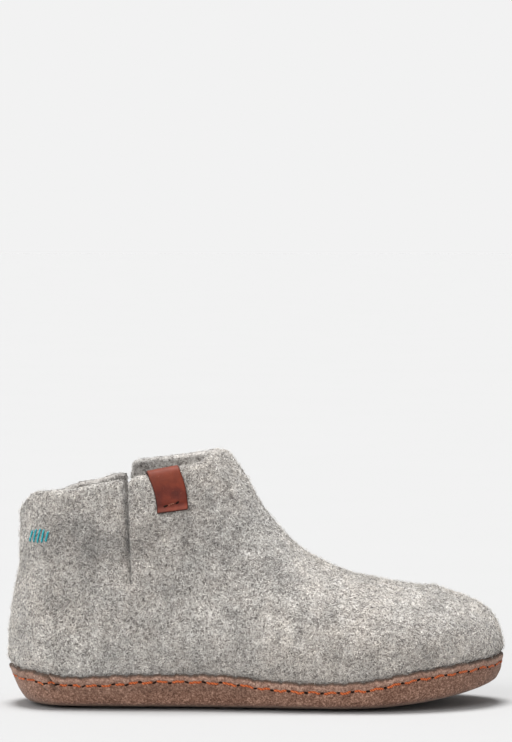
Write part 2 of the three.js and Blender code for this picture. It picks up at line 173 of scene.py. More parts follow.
plan = {"outer": reader(PLAN, "x", "outer"), "inner": reader(PLAN, "x", "inner")}
share, back, heel_round = (reader(HEIGHTS, "z", k) for k in ("share", "back", "heel"))
front, rim_line, stitch_below = reader(NOSE, "z", "front"), reader(RIM, "x", "z"), reader(STITCH, "x", "below")
collar_lift = {"outer": reader(COLLAR_OUTER, "x", "lift"), "inner": reader(COLLAR_INNER, "x", "lift")}


def quarter(v):
    rest = 1 - np.clip(v, 0, 1)
    return np.sqrt(1 - rest * rest)


def smooth(v):
    v = np.clip(v, 0, 1)
    return v * v * (3 - 2 * v)


def floor_line(x):
    return SPRING_RISE * np.maximum(0, x - SPRING_FROM) ** 2


def swing(x):
    return TOE_SWING * np.maximum(0, (x - 150) / (LENGTH - 150)) ** 2


def drawn_in(height):
    left = EDGE_ROUND - np.clip(height, 0, EDGE_ROUND)
    return EDGE_ROUND - np.sqrt(EDGE_ROUND**2 - left**2)


def half_width(side, x, z, edge=drawn_in):
    inset = edge(z - floor_line(x))
    heel_inset = drawn_in(z - floor_line(x))  # the heel's end is always turned up round
    wide = plan[side](x) * share(z) - inset
    return wide * quarter((x - back(z) - heel_inset) / (heel_round(z) - heel_inset)) * quarter((front(z) - x - inset) / (TOE_ROUND - inset))


def metres(p):
    p = np.asarray(p, float)
    return (p + np.array([-LENGTH / 2, TO_MIDDLE, 0])) * 0.001


# ---- seeded smooth noise ------------------------------------------------------------
def lumps(p, size, seed):
    """Smooth noise from -1 to 1 at points p (mm), with lumps about size wide."""
    q = p / size + seed * 17.31
    cell = np.floor(q).astype(np.int64)
    t = q - cell
    t = t * t * (3 - 2 * t)
    total = np.zeros(q.shape[:-1])
    for dx in (0, 1):
        for dy in (0, 1):
            for dz in (0, 1):
                h = (cell[..., 0] + dx) * 73856093 ^ (cell[..., 1] + dy) * 19349663 ^ (cell[..., 2] + dz) * 83492791 ^ (seed * 2654435761 & 0xFFFFFFFF)
                h = (h ^ (h >> 13)) * 1274126177 & 0x7FFFFFFF
                value = (h & 0xFFFFF) / 0xFFFFF * 2 - 1
                weight = (t[..., 0] if dx else 1 - t[..., 0]) * (t[..., 1] if dy else 1 - t[..., 1]) * (t[..., 2] if dz else 1 - t[..., 2])
                total = total + weight * value
    return total


def creased(p):
    total = np.zeros(p.shape[:-1])
    for x0, z0, x1, z1, wide, deep, side in zip(*(CREASES[k] for k in "x0 z0 x1 z1 wide deep side".split())):
        along = np.array([x1 - x0, z1 - z0])
        length = math.hypot(*along)
        rel = np.stack([p[..., 0] - x0, p[..., 2] - z0], -1)
        t = (rel @ along) / length**2
        off = (rel[..., 0] * along[1] - rel[..., 1] * along[0]) / length
        ends = smooth((t + 0.15) / 0.35) * smooth((1.15 - t) / 0.35)
        on = smooth(p[..., 1] * side / 6.0)
        total += deep * np.exp(-((off / wide) ** 2)) * ends * on
    return total


# ---- mesh helpers ---------------------------------------------------------------------
def make(name, points, faces, material=None, smooth_shade=True, body="root"):
    """One mesh object from points in mm and a list of face arrays, each of one size."""
    mesh = bpy.data.meshes.new(name)
    points = metres(points).astype(np.float32)
    faces = [np.asarray(f, np.int32) for f in faces if len(f)]
    loops = np.concatenate([f.ravel() for f in faces])
    sizes = np.concatenate([np.full(len(f), f.shape[1], np.int32) for f in faces])
    starts = np.concatenate([[0], np.cumsum(sizes)[:-1]]).astype(np.int32)
    mesh.vertices.add(len(points))
    mesh.vertices.foreach_set("co", points.ravel())
    mesh.loops.add(len(loops))
    mesh.loops.foreach_set("vertex_index", loops)
    mesh.polygons.add(len(sizes))
    mesh.polygons.foreach_set("loop_start", starts)
    mesh.polygons.foreach_set("loop_total", sizes)
    mesh.polygons.foreach_set("use_smooth", np.full(len(sizes), smooth_shade))
    mesh.update(calc_edges=True)
    mesh.validate()
    piece = bpy.data.objects.new(name, mesh)
    bpy.context.scene.collection.objects.link(piece)
    if material:
        mesh.materials.append(material)
    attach(piece, body)
    return piece


def normals_of(p, nose=None, wrap=True):
    """Unit normals of a grid of rings, pointing out of rings that run nose to collar."""
    before = np.concatenate([p[:1] if nose is None else np.broadcast_to(nose, p[:1].shape), p[:-1]])
    after = np.concatenate([p[1:], p[-1:]])
    if wrap:
        turn = np.roll(p, -1, 1) - np.roll(p, 1, 1)
    else:
        turn = np.concatenate([p[:, 1:], p[:, -1:]], 1) - np.concatenate([p[:, :1], p[:, :-1]], 1)
    n = np.cross(turn, before - after)
    size = np.linalg.norm(n, axis=-1, keepdims=True)
    return n / np.maximum(size, 1e-9)


# ---- the felt form as a fine grid --------------------------------------------------------
N_HALF, SLIT_COLUMN = 102, 55
EDGES = np.array([0, 0.2, 0.55, 1.0, 1.6, 2.4, 3.4, 4.8])
RIM_EDGES = np.array([0, 0.2, 0.55, 1.0, 1.6, 2.4, 3.4, 4.8, 6.6, 8.8, 11.4])
FEW = 196  # rings between nose and collar


def slit_x(z):
    return SLIT_TOP_X + (SLIT_LOW_X - SLIT_TOP_X) * np.clip((123.2 - z) / (123.2 - SLIT_LOW_Z), 0, 1)


def fan(at, steps=240, flat=20):
    at = np.asarray(at, float)[:, None]
    tx, tz, lean, crown = (by_row(k, at) for k in ("topX", "topZ", "lean", "crown"))
    sx, sz = np.sin(np.radians(lean)), np.cos(np.radians(lean))

    def inside(d):
        x, z = tx - d * sx, tz - d * sz
        inset = drawn_in(z - floor_line(x))
        return (z >= floor_line(x)) & (x > back(z) + inset) & (x < front(z) - inset)

    near, far = np.full_like(at, 0.5), np.full_like(at, 0.5)
    for _ in range(400):
        ok = inside(far)
        if not ok.any():
            break
        far = np.where(ok, far + 1, far)
    for _ in range(40):
        mid = (near + far) / 2
        ok = inside(mid)
        near, far = np.where(ok, mid, near), np.where(ok, far, mid)
    d = near * (1 - np.cos(np.pi * np.arange(steps + 1) / steps)) / 2
    x, z = tx - d * sx, tz - d * sz
    sides = {}
    for side in ("outer", "inner"):
        w = half_width(side, x, z) * quarter(d / np.minimum(crown, near * 0.6))
        end = w[:, -1:] * (1 - np.arange(1, flat + 1) / flat)
        sides[side] = np.concatenate([d, np.repeat(near, flat, 1)], 1), np.concatenate([w, end], 1)
    return tx, tz, sx, sz, sides


def felt_grid():
    ats = np.linspace(0, RIM_ROW, 560)
    tx, tz, sx, sz, sides = fan(ats)
    grid = np.zeros((len(ats), 2 * N_HALF, 3))
    for side, sign in (("outer", -1), ("inner", 1)):
        d, w = sides[side]
        cum = np.concatenate([np.zeros((len(ats), 1)), np.cumsum(np.hypot(np.diff(d), np.diff(w)), 1)], 1)
        total = cum[:, -1]
        x, z = tx - d * sx, tz - d * sz
        past = x < slit_x(z)
        found = past.any(1) & (ats > 11.5)
        first = np.argmax(past, 1)
        rows = np.arange(len(ats))
        a, b = cum[rows, np.maximum(first - 1, 0)], cum[rows, first]
        fa = (x - slit_x(z))[rows, np.maximum(first - 1, 0)]
        fb = (x - slit_x(z))[rows, first]
        cross = a + (b - a) * np.clip(fa / np.where(fa == fb, 1, fa - fb), 0, 1)
        part = np.where(found, cross / total, np.nan)
        lowest = part[found][0]
        fade = smooth((ats - 4) / 7.5)
        part = np.where(found, part, lowest * fade + SLIT_COLUMN / N_HALF * (1 - fade))
        for i in range(len(ats)):
            at_slit = part[i] * total[i]
            fine = EDGES * min(1.0, total[i] / 130.0)
            few = len(fine) - 1
            u = np.concatenate([
                np.linspace(0, at_slit - fine[-1], SLIT_COLUMN - few + 1)[:-1],
                (at_slit - fine)[::-1], (at_slit + fine)[1:],
                np.linspace(at_slit + fine[-1], total[i], N_HALF - SLIT_COLUMN - few + 1)[1:],
            ])
            dj, wj = np.interp(u, cum[i], d[i]), np.interp(u, cum[i], w[i])
            xj, zj = tx[i, 0] - dj * sx[i, 0], tz[i, 0] - dj * sz[i, 0]
            wj[0] = wj[-1] = 0
            points = np.stack([xj, swing(xj) + sign * wj, zj], -1)
            if side == "outer":
                grid[i, : N_HALF + 1] = points
            else:
                grid[i, N_HALF + 1 :] = points[1:-1][::-1]
    # rings at even distances, and close together under the collar's edge
    step = np.linalg.norm(np.diff(grid, axis=0), axis=-1)
    from_rim = np.concatenate([np.cumsum(step[::-1], 0)[::-1], np.zeros((1, grid.shape[1]))])
    pace = np.concatenate([[0], np.cumsum(0.45 * step.mean(1) + 0.55 * step.max(1))])
    regular = np.interp(np.linspace(0, pace[-1], FEW), pace, ats)
    rings = np.zeros((FEW + len(RIM_EDGES), grid.shape[1], 3))
    edge = np.zeros(rings.shape[:2])
    for c in range(grid.shape[1]):
        rim_at = np.interp(RIM_EDGES[::-1], from_rim[::-1, c], ats[::-1])
        top = np.interp(RIM_EDGES[-1] + 1.8, from_rim[::-1, c], ats[::-1])
        low = np.where(regular < 8, regular, 8 + (regular - 8) * (top - 8) / (RIM_ROW - 8))
        at = np.concatenate([low, rim_at])
        for k in range(3):
            rings[:, c, k] = np.interp(at, ats, grid[:, c, k])
        edge[:, c] = np.interp(at, ats, from_rim[:, c])
    # the tip of the toe
    nose = np.array([LENGTH, swing(LENGTH), NOSE_Z])
    caps = []
    for f in (0.14, 0.4, 0.7):
        cap = nose + f * (rings[0] - nose)
        cap[:, 0] = LENGTH - (LENGTH - rings[0, :, 0]) * f * f
        caps.append(cap)
    rings = np.concatenate([np.array(caps), rings])
    edge = np.concatenate([np.full((3, edge.shape[1]), 300.0), edge])
    return rings, edge, nose


rings, edge, nose = felt_grid()
COLUMNS = rings.shape[1]
HALF_SIGN = np.where(np.arange(COLUMNS) <= N_HALF, -1, 1)
column = np.arange(COLUMNS)
to_slit = np.minimum(np.abs(column - SLIT_COLUMN), np.abs(column - (COLUMNS - SLIT_COLUMN)))
slit_columns = (SLIT_COLUMN, COLUMNS - SLIT_COLUMN)


def felt_surfaces():
    p = rings.copy()
    side = np.where(p[..., 1] < swing(p[..., 0]), -1, 1)
    # the collar's edge is not quite straight
    rim_x = p[-1, :, 0]
    lift = np.where(HALF_SIGN < 0, collar_lift["outer"](rim_x), collar_lift["inner"](rim_x))
    lift = lift + 0.35 * lumps(p[-1], 9.0, 3) + 0.2 * lumps(p[-1], 4.0, 4)
    p[..., 2] += lift * (1 - smooth(edge / 22.0))
    # the slit: how far each point is from it, how open it is there
    sx = slit_x(p[..., 2])
    off = p[..., 0] - sx
    open_here = smooth((p[..., 2] - SLIT_LOW_Z + 1.0) / 5.0)
    gap = (0.15 + 0.5 * smooth((p[..., 2] - 78) / 24) + 1.5 * smooth((p[..., 2] - 98) / 27)) * open_here
    nearby = np.clip(1 - np.abs(off) / 16.0, 0, 1)
    front_side = np.where(HALF_SIGN < 0, column < SLIT_COLUMN, column > COLUMNS - SLIT_COLUMN)
    way = np.where(front_side, 1.0, -1.0)
    away = np.abs(off) / np.maximum(np.hypot(1, 0.05), 1e-9)
    return p, side, open_here, gap, nearby, way, away


p0, side0, open_here, gap, nearby, way, away = felt_surfaces()
at_slit = np.isin(column, slit_columns)
base_n = normals_of(p0, nose)
# soft shape: listed creases and the uneven hand of wet-felted wool
soft = creased(p0) + 0.55 * lumps(p0, 34.0, 1) + 0.28 * lumps(p0, 13.0, 2)
above = p0[..., 2] - rim_line(p0[..., 0])
soft -= 0.6 * smooth((16 - p0[..., 0]) / 11) * smooth((p0[..., 2] - 22) / 10) * smooth((88 - p0[..., 2]) / 14)  # the heel's back
soft += 1.3 * np.exp(-(((p0[..., 0] - 229.0) / 4.6) ** 2)) * smooth((p0[..., 2] - 50) / 10)  # a low ridge across the toe
soft = (soft - 0.6) * smooth((above - 1.0) / 9.0)
puff = 0.45 * np.exp(-(((above - 10.0) / 6.0) ** 2))
tuck_side = RIM_SET + SUEDE_RIM + GAP
tuck = np.clip((7.0 - above) / 7.0, 0, 1) ** 2.6
down = np.maximum(0, -base_n[..., 2]) ** 2
tucked = (tuck_side + (SUEDE_FLOOR + GAP - tuck_side) * down) * tuck
mid_low = p0 + base_n * (soft + puff * (above > -2))[..., None]
outer_move = soft + puff - tucked
low = smooth((32 - (p0[..., 2] - floor_line(p0[..., 0]))) / 18.0)
wall_side = FELT + (tuck_side + FELT_LOW - FELT) * low
inner_move = -(wall_side + (SUEDE_FLOOR + GAP + FELT_LOW - wall_side) * down) + soft * 0.8
ROUND = 2.3


def shell(copy_way):
    """Outer and inner points of every ring. copy_way moves the points at the slit itself to one side of it."""
    w = np.where(at_slit[None, :], copy_way, way)
    p = p0.copy()
    p[..., 0] += np.where(w < 0, -0.62, 0.46) * gap * nearby
    # the corners of the panels are rounded off
    corner = np.exp(-((away / 3.2) ** 2)) * np.exp(-edge / 9.0) * open_here
    p[..., 2] -= corner * np.where(HALF_SIGN < 0, np.where(w > 0, 2.4, 1.1), np.where(w > 0, 0.3, 0.7))
    e1 = np.maximum(ROUND - edge, 0)
    e2 = np.maximum(ROUND - np.where(to_slit[None, :] < 12, away, 99.0), 0) * open_here
    rr = np.minimum(np.hypot(e1, e2), ROUND)
    thin = ROUND - np.sqrt(ROUND**2 - rr**2)
    lip = 0.35 * np.exp(-(((edge - 3.5) / 3.0) ** 2))
    roll = np.where(w < 0, 0.95, 0.1) * np.exp(-((away / 2.8) ** 2)) * open_here * (to_slit[None, :] < 12)
    out = p + base_n * (outer_move - thin + lip - roll)[..., None]
    inn = p + base_n * (inner_move + thin)[..., None]
    return out, inn


out_rear, in_rear = shell(-1.0)
out_front, in_front = shell(1.0)
RINGS = len(rings)
first_open = int(np.argmax((open_here[:, SLIT_COLUMN] > 0.02) & (np.arange(RINGS) > 40)))


def felt_mesh():
    """The upper: outer and inner skins, joined round collar, slits and the opening under the foot."""
    # which cells lie in the opening underneath
    inset = EDGE_ROUND + MARGIN - 1
    centre = (p0[:-1] + np.roll(p0, -1, 1)[:-1] + p0[1:] + np.roll(p0, -1, 1)[1:]) / 4
    cx, cy = centre[..., 0], centre[..., 1] - swing(centre[..., 0])
    half = np.where(cy < 0, plan["outer"](cx), plan["inner"](cx)) - inset
    half = half * quarter((cx - inset) / (31 - inset)) * quarter((LENGTH - cx - inset) / (TOE_ROUND - inset))
    hole = (np.abs(cy) < half) & (centre[..., 2] - floor_line(cx) < 1.0) & (cx > inset) & (cx < LENGTH - inset)
    grid_ids = 1 + np.arange(RINGS * COLUMNS).reshape(RINGS, COLUMNS)
    outer_points = [nose + np.array([0.0, 0, 0])]
    outer_points = np.concatenate([np.array(outer_points), out_rear.reshape(-1, 3)])
    nose_in = nose + np.array([-FELT, 0, 0])
    inner_points = np.concatenate([nose_in[None], in_rear.reshape(-1, 3)])
    extra_out, extra_in, front_ids = [], [], {}
    count = len(outer_points)
    for c in slit_columns:
        for i in range(first_open, RINGS):
            front_ids[(i, c)] = count
            count += 1
            extra_out.append(out_front[i, c])
            extra_in.append(in_front[i, c])
    outer_points = np.concatenate([outer_points, np.array(extra_out)])
    inner_points = np.concatenate([inner_points, np.array(extra_in)])
    shift = len(outer_points)
    # corner ids for every cell (i, c) .. (i+1, c+1); cells on the front side of a slit use the front copies
    a = grid_ids[:-1].copy()
    b = np.roll(grid_ids, -1, 1)[:-1].copy()
    c2 = np.roll(grid_ids, -1, 1)[1:].copy()
    d2 = grid_ids[1:].copy()
    for c in slit_columns:
        cell = c - 1 if c == SLIT_COLUMN else c  # the cell on the front side
        for i in range(RINGS - 1):
            lower, upper = front_ids.get((i, c)), front_ids.get((i + 1, c))
            if cell == c - 1:
                if lower is not None:
                    b[i, cell] = lower
                if upper is not None:
                    c2[i, cell] = upper
            else:
                if lower is not None:
                    a[i, cell] = lower
                if upper is not None:
                    d2[i, cell] = upper
    keep = ~hole
    quads = np.stack([a, d2, c2, b], -1)[keep]
    tip = np.stack([np.zeros(COLUMNS, int), grid_ids[0], np.roll(grid_ids[0], -1)], -1)
    faces4 = [quads, quads[:, ::-1] + shift]
    faces3 = [tip, tip[:, ::-1] + shift]
    # the collar's edge, slit by slit
    rim = []
    for c in range(COLUMNS):
        lo, hi = b[-1, c], a[-1, c]
        up_a, up_b = d2[-1, c], c2[-1, c]
        rim.append([up_b, up_a, up_a + shift, up_b + shift])
    # the slits' edges
    for c in slit_columns:
        rear = lambda i, c=c: grid_ids[i, c]
        fore = lambda i, c=c: front_ids[(i, c)]
        for i in range(first_open - 1, RINGS - 1):
            r0, r1 = rear(i), rear(i + 1)
            f0 = fore(i) if (i, c) in front_ids else rear(i)
            f1 = fore(i + 1)
            flip = c != SLIT_COLUMN
            strips = [[r0, r1, r1 + shift, r0 + shift], [f1, f0, f0 + shift, f1 + shift]]
            if (i, c) not in front_ids:
                # the two edges meet in one line here: the same two strips are kept
                strips = [[r0, r1, r1 + shift, r0 + shift], [f1, f0, f0 + shift, f1 + shift]]
            for s in strips:
                rim.append(s[::-1] if flip else s)
    # the edge of the opening underneath
    for i in range(RINGS - 1):
        for c in range(COLUMNS):
            if not hole[i, c]:
                continue
            if not hole[i, c - 1]:
                rim.append([a[i, c], d2[i, c], d2[i, c] + shift, a[i, c] + shift])
            if not hole[i, (c + 1) % COLUMNS]:
                rim.append([c2[i, c], b[i, c], b[i, c] + shift, c2[i, c] + shift])
            if i > 0 and not hole[i - 1, c]:
                rim.append([b[i, c], a[i, c], a[i, c] + shift, b[i, c] + shift])
            if i < RINGS - 2 and not hole[i + 1, c]:
                rim.append([d2[i, c], c2[i, c], c2[i, c] + shift, d2[i, c] + shift])
    points = np.concatenate([outer_points, inner_points])
    faces4.append(np.array(rim))
    # drop points that no face uses
    used = np.zeros(len(points), bool)
    for f in faces4 + faces3:
        used[f.ravel()] = True
    new = np.cumsum(used) - 1
    return points[used], [new[f] for f in faces4 + faces3], quads, outer_points


# ---- materials ---------------------------------------------------------------------------
def lin(r, g, b):
    return tuple(((v / 255 + 0.055) / 1.055) ** 2.4 if v / 255 > 0.04045 else v / 255 / 12.92 for v in (r, g, b)) + (1.0,)


class Nodes:
    """A small helper to write node trees in few lines."""

    def __init__(self, name):
        self.material = bpy.data.materials.new(name)
        self.material.use_nodes = True
        self.tree = self.material.node_tree
        self.shader = self.tree.nodes["Principled BSDF"]
        self.coord = self.tree.nodes.new("ShaderNodeTexCoord").outputs["Object"]

    def new(self, kind, **inputs):
        node = self.tree.nodes.new(kind)
        for key, value in inputs.items():
            if hasattr(node, key) and not isinstance(value, bpy.types.NodeSocket):
                setattr(node, key, value)
            else:
                self.put(node.inputs[key.replace("_", " ")], value)
        return node

    def put(self, socket, value):
        if isinstance(value, bpy.types.NodeSocket):
            self.tree.links.new(value, socket)
        else:
            socket.default_value = value

    def noise(self, scale, detail=2.0, rough=0.5, distort=0.0, vector=None, dims="3D"):
        n = self.tree.nodes.new("ShaderNodeTexNoise")
        n.noise_dimensions = dims
        self.put(n.inputs["Vector"], vector or self.coord)
        for key, value in (("Scale", scale), ("Detail", detail), ("Roughness", rough), ("Distortion", distort)):
            self.put(n.inputs[key], value)
        return n.outputs["Fac"]

    def math(self, operation, a, b=0.0, clamp=False):
        n = self.tree.nodes.new("ShaderNodeMath")
        n.operation, n.use_clamp = operation, clamp
        self.put(n.inputs[0], a)
        self.put(n.inputs[1], b)
        return n.outputs[0]

    def ramp(self, fac, *stops):
        n = self.tree.nodes.new("ShaderNodeValToRGB")
        el = n.color_ramp.elements
        el[0].position, el[0].color = stops[0][0], stops[0][1]
        el[1].position, el[1].color = stops[-1][0], stops[-1][1]
        for place, colour in stops[1:-1]:
            e = el.new(place)
            e.color = colour
        self.put(n.inputs["Fac"], fac)
        return n.outputs["Color"]

    def mix(self, fac, a, b, blend="MIX"):
        n = self.tree.nodes.new("ShaderNodeMix")
        n.data_type, n.blend_type = "RGBA", blend
        self.put(n.inputs["Factor"], fac)
        self.put(n.inputs[6], a)
        self.put(n.inputs[7], b)
        return n.outputs[2]

    def bump(self, height, strength, distance, normal=None):
        n = self.tree.nodes.new("ShaderNodeBump")
        self.put(n.inputs["Height"], height)
        n.inputs["Strength"].default_value = strength
        n.inputs["Distance"].default_value = distance
        if normal:
            self.put(n.inputs["Normal"], normal)
        return n.outputs["Normal"]

    def attribute(self, name):
        n = self.tree.nodes.new("ShaderNodeAttribute")
        n.attribute_name = name
        return n.outputs["Fac"]

    def finish(self, colour, rough, normal=None, sheen=0.0, sheen_rough=0.5, tint=(1, 1, 1, 1), specular=0.5, coat=0.0, coat_rough=0.4):
        s = self.shader.inputs
        self.put(s["Base Color"], colour)
        self.put(s["Roughness"], rough)
        if normal:
            self.put(s["Normal"], normal)
        s["Sheen Weight"].default_value = sheen
        s["Sheen Roughness"].default_value = sheen_rough
        s["Sheen Tint"].default_value = tint
        s["Specular IOR Level"].default_value = specular
        s["Coat Weight"].default_value = coat
        s["Coat Roughness"].default_value = coat_rough
        return self.material


def warped(m, scale, amount):
    """The object's coordinates, pushed about by noise, so that streaks curl like fibres."""
    n = m.tree.nodes.new("ShaderNodeTexNoise")
    m.put(n.inputs["Vector"], m.coord)
    n.inputs["Scale"].default_value = scale
    n.inputs["Detail"].default_value = 1.0
    shift = m.tree.nodes.new("ShaderNodeVectorMath")
    shift.operation = "SUBTRACT"
    m.put(shift.inputs[0], n.outputs["Color"])
    shift.inputs[1].default_value = (0.5, 0.5, 0.5)
    times = m.tree.nodes.new("ShaderNodeVectorMath")
    times.operation = "SCALE"
    m.put(times.inputs[0], shift.outputs[0])
    times.inputs["Scale"].default_value = amount
    add = m.tree.nodes.new("ShaderNodeVectorMath")
    add.operation = "ADD"
    m.put(add.inputs[0], m.coord)
    m.put(add.inputs[1], times.outputs[0])
    return add.outputs[0]


def streaks(m, vector, stretch, scale):
    """Noise drawn out along one direction: short strokes, like matted fibres."""
    mapping = m.tree.nodes.new("ShaderNodeMapping")
    m.put(mapping.inputs["Vector"], vector)
    mapping.inputs["Rotation"].default_value = stretch[0]
    mapping.inputs["Scale"].default_value = stretch[1]
    return m.noise(scale, 1.5, 0.55, 0.0, mapping.outputs[0])


def wool_tint(m, colour, strength=1.0):
    """Uneven wool: soft patches of several sizes, warm and cool places, and the listed places of wool tone and painted
    light and shade.
    """
    patches = m.noise(26.0, 2.0, 0.55)
    clumps = m.noise(68.0, 2.0, 0.6, 0.6)
    tufts = m.noise(135.0, 2.0, 0.6, 0.8)
    uneven = m.math("ADD", m.math("MULTIPLY", m.math("SUBTRACT", patches, 0.5), 0.55), m.math("MULTIPLY", m.math("SUBTRACT", clumps, 0.5), 0.85))
    uneven = m.math("ADD", uneven, m.math("MULTIPLY", m.math("SUBTRACT", tufts, 0.5), 0.75))
    uneven = m.math("MULTIPLY", uneven, strength)
    grain = m.noise(1150.0, 2.0, 0.7)
    uneven = m.math("ADD", uneven, m.math("MULTIPLY", m.math("SUBTRACT", grain, 0.5), 0.75))
    # the per-point attribute adds the wool tone with painted light and shade
    level = m.math("ADD", m.math("ADD", uneven, 1.02), m.attribute("shade"))
    colour = m.mix(1.0, colour, level, "MULTIPLY")
    warm = m.noise(15.0, 2.0, 0.5)
    fleck = m.noise(110.0, 2.0, 0.6)
    warmth = m.math("MULTIPLY", m.math("ADD", m.math("MULTIPLY", warm, 0.6), m.math("MULTIPLY", fleck, 0.4)), 1.0)
    colour = m.mix(m.ramp(warmth, (0.47, (0, 0, 0, 1)), (0.62, (0.42, 0.42, 0.42, 1))), colour, (1.0, 0.945, 0.895, 1), "MULTIPLY")
    return m.mix(m.ramp(warmth, (0.36, (0.5, 0.5, 0.5, 1)), (0.47, (0, 0, 0, 1))), colour, (0.96, 0.985, 1.0, 1), "MULTIPLY")


def felt_material(name, light=1.0):
    m = Nodes(name)
    mottle = m.noise(230.0, 3.0, 0.6, 0.4)
    curl = warped(m, 260.0, 0.004)
    one = streaks(m, curl, ((0.3, 0.5, 0.2), (1.0, 1.0, 3.6)), 620.0)
    two = streaks(m, curl, ((0.9, 1.1, 0.7), (3.8, 1.0, 1.0)), 600.0)
    fine = m.math("MAXIMUM", one, two)
    deep = m.math("MINIMUM", one, two)
    tone = m.math("ADD", m.math("MULTIPLY", fine, 0.75), m.math("MULTIPLY", deep, 0.55))
    tone = m.math("ADD", tone, m.math("MULTIPLY", m.math("SUBTRACT", mottle, 0.5), 0.55))
    k = light
    grey = m.ramp(
        tone,
        (0.34, lin(66 * k, 61 * k, 58 * k)), (0.48, lin(108 * k, 103 * k, 99 * k)), (0.62, lin(152 * k, 147 * k, 142 * k)),
        (0.78, lin(184 * k, 180 * k, 175 * k)), (0.95, lin(208 * k, 205 * k, 200 * k)),
    )
    colour = wool_tint(m, grey)
    normal = m.bump(mottle, 0.5, 0.0009)
    normal = m.bump(fine, 0.85, 0.0006, normal)
    rough = m.ramp(fine, (0.3, (0.95, 0.95, 0.95, 1)), (0.8, (0.86, 0.86, 0.86, 1)))
    return m.finish(colour, rough, normal, sheen=0.7, sheen_rough=0.5, tint=(0.97, 0.96, 0.95, 1), specular=0.15)


def fibre_material(name, colour, colour_2):
    m = Nodes(name)
    fleck = m.noise(900.0, 1.0, 0.5)
    c = m.ramp(fleck, (0.38, colour), (0.62, colour_2))
    c = wool_tint(m, c, 0.8)
    rough = m.ramp(fleck, (0.3, (0.9, 0.9, 0.9, 1)), (0.7, (0.75, 0.75, 0.75, 1)))
    return m.finish(c, rough, None, sheen=0.5, sheen_rough=0.5, specular=0.2)


def suede_material():
    m = Nodes("brown_suede")
    nap = m.noise(1250.0, 3.0, 0.7)
    grit = m.noise(620.0, 3.0, 0.7, 0.3)
    blotch = m.noise(60.0, 3.0, 0.6, 0.3)
    brushed = m.noise(240.0, 3.0, 0.6, 0.6)
    tone = m.math("ADD", m.math("MULTIPLY", nap, 0.50), m.math("MULTIPLY", grit, 0.30))
    tone = m.math("ADD", tone, m.math("ADD", m.math("MULTIPLY", blotch, 0.10), m.math("MULTIPLY", brushed, 0.10)))
    brown = m.ramp(tone, (0.38, lin(62, 40, 31)), (0.5, lin(118, 86, 71)), (0.62, lin(176, 141, 122)))
    pale = m.ramp(tone, (0.37, lin(84, 60, 50)), (0.5, lin(144, 113, 98)), (0.64, lin(204, 173, 156)))
    # paler suede on the lip, partly a painted highlight along its roll and on the pleat's ridge
    c = m.mix(m.attribute("lip"), brown, pale)
    # the dark raw edge along the top, with painted shade in the pleat's creases
    c = m.mix(m.math("MULTIPLY", m.attribute("raw_edge_and_crease_shade"), 0.85), c, m.ramp(grit, (0.35, lin(48, 36, 30)), (0.65, lin(92, 74, 63))))
    # painted shade towards the floor, on the underside and in a band below the stitches
    c = m.mix(m.math("MULTIPLY", m.attribute("under"), 0.35), c, lin(96, 76, 66))
    normal = m.bump(brushed, 0.35, 0.0006)
    normal = m.bump(grit, 0.6, 0.0005, normal)
    normal = m.bump(nap, 0.8, 0.0003, normal)
    rough = m.ramp(nap, (0.3, (0.98, 0.98, 0.98, 1)), (0.7, (0.86, 0.86, 0.86, 1)))
    return m.finish(c, rough, normal, sheen=0.25, sheen_rough=0.55, tint=(0.9, 0.78, 0.7, 1), specular=0.12)


def leather_material():
    m = Nodes("tab_leather")
    edge_tone = m.attribute("edge")
    grain = m.tree.nodes.new("ShaderNodeTexVoronoi")
    m.put(grain.inputs["Vector"], m.coord)
    grain.inputs["Scale"].default_value = 1500.0
    grain = grain.outputs["Distance"]
    cloud = m.noise(150.0, 2.0, 0.5)
    scuff = m.noise(420.0, 4.0, 0.7, 1.0)
    c = m.ramp(cloud, (0.30, lin(74, 20, 8)), (0.5, lin(92, 28, 11)), (0.70, lin(112, 41, 20)))
    # painted highlight where the leather bends over the collar and on the strip below the stitches
    c = m.mix(m.attribute("painted_highlight"), c, lin(144, 72, 48))
    c = m.mix(m.ramp(scuff, (0.58, (0, 0, 0, 1)), (0.75, (0.35, 0.35, 0.35, 1))), c, lin(138, 82, 64))
    c = m.mix(edge_tone, c, lin(40, 17, 11))
    normal = m.bump(grain, 0.25, 0.0002)
    normal = m.bump(scuff, 0.2, 0.0002, normal)
    rough = m.ramp(scuff, (0.3, (0.55, 0.55, 0.55, 1)), (0.75, (0.72, 0.72, 0.72, 1)))
    return m.finish(c, rough, normal, specular=0.28, coat=0.03, coat_rough=0.5)


def thread_material(name, dark, mid, light, scale=1.0):
    m = Nodes(name)
    wave = m.tree.nodes.new("ShaderNodeTexWave")
    m.put(wave.inputs["Vector"], m.coord)
    wave.wave_type, wave.bands_direction = "BANDS", "DIAGONAL"
    wave.inputs["Scale"].default_value = 420.0 * scale
    wave.inputs["Distortion"].default_value = 3.0
    ply = wave.outputs["Fac"]
    wool = m.noise(1200.0, 3.0, 0.6)
    tone = m.math("ADD", m.math("MULTIPLY", ply, 0.45), m.math("MULTIPLY", wool, 0.55))
    c = m.ramp(tone, (0.2, dark), (0.5, mid), (0.8, light))
    normal = m.bump(tone, 0.7, 0.0003)
    rough = m.ramp(wool, (0.3, (0.8, 0.8, 0.8, 1)), (0.7, (0.6, 0.6, 0.6, 1)))
    return m.finish(c, rough, normal, sheen=0.15, specular=0.3)


# a dark colour for painted shadow in stitch holes
def hole_shade_material():
    m = Nodes("stitch_hole_painted_shade")
    n = m.noise(900.0, 2.0, 0.5)
    c = m.ramp(n, (0.3, lin(22, 13, 10)), (0.7, lin(44, 29, 23)))
    return m.finish(c, m.ramp(n, (0.3, (1, 1, 1, 1)), (0.7, (0.9, 0.9, 0.9, 1))), None, specular=0.05)


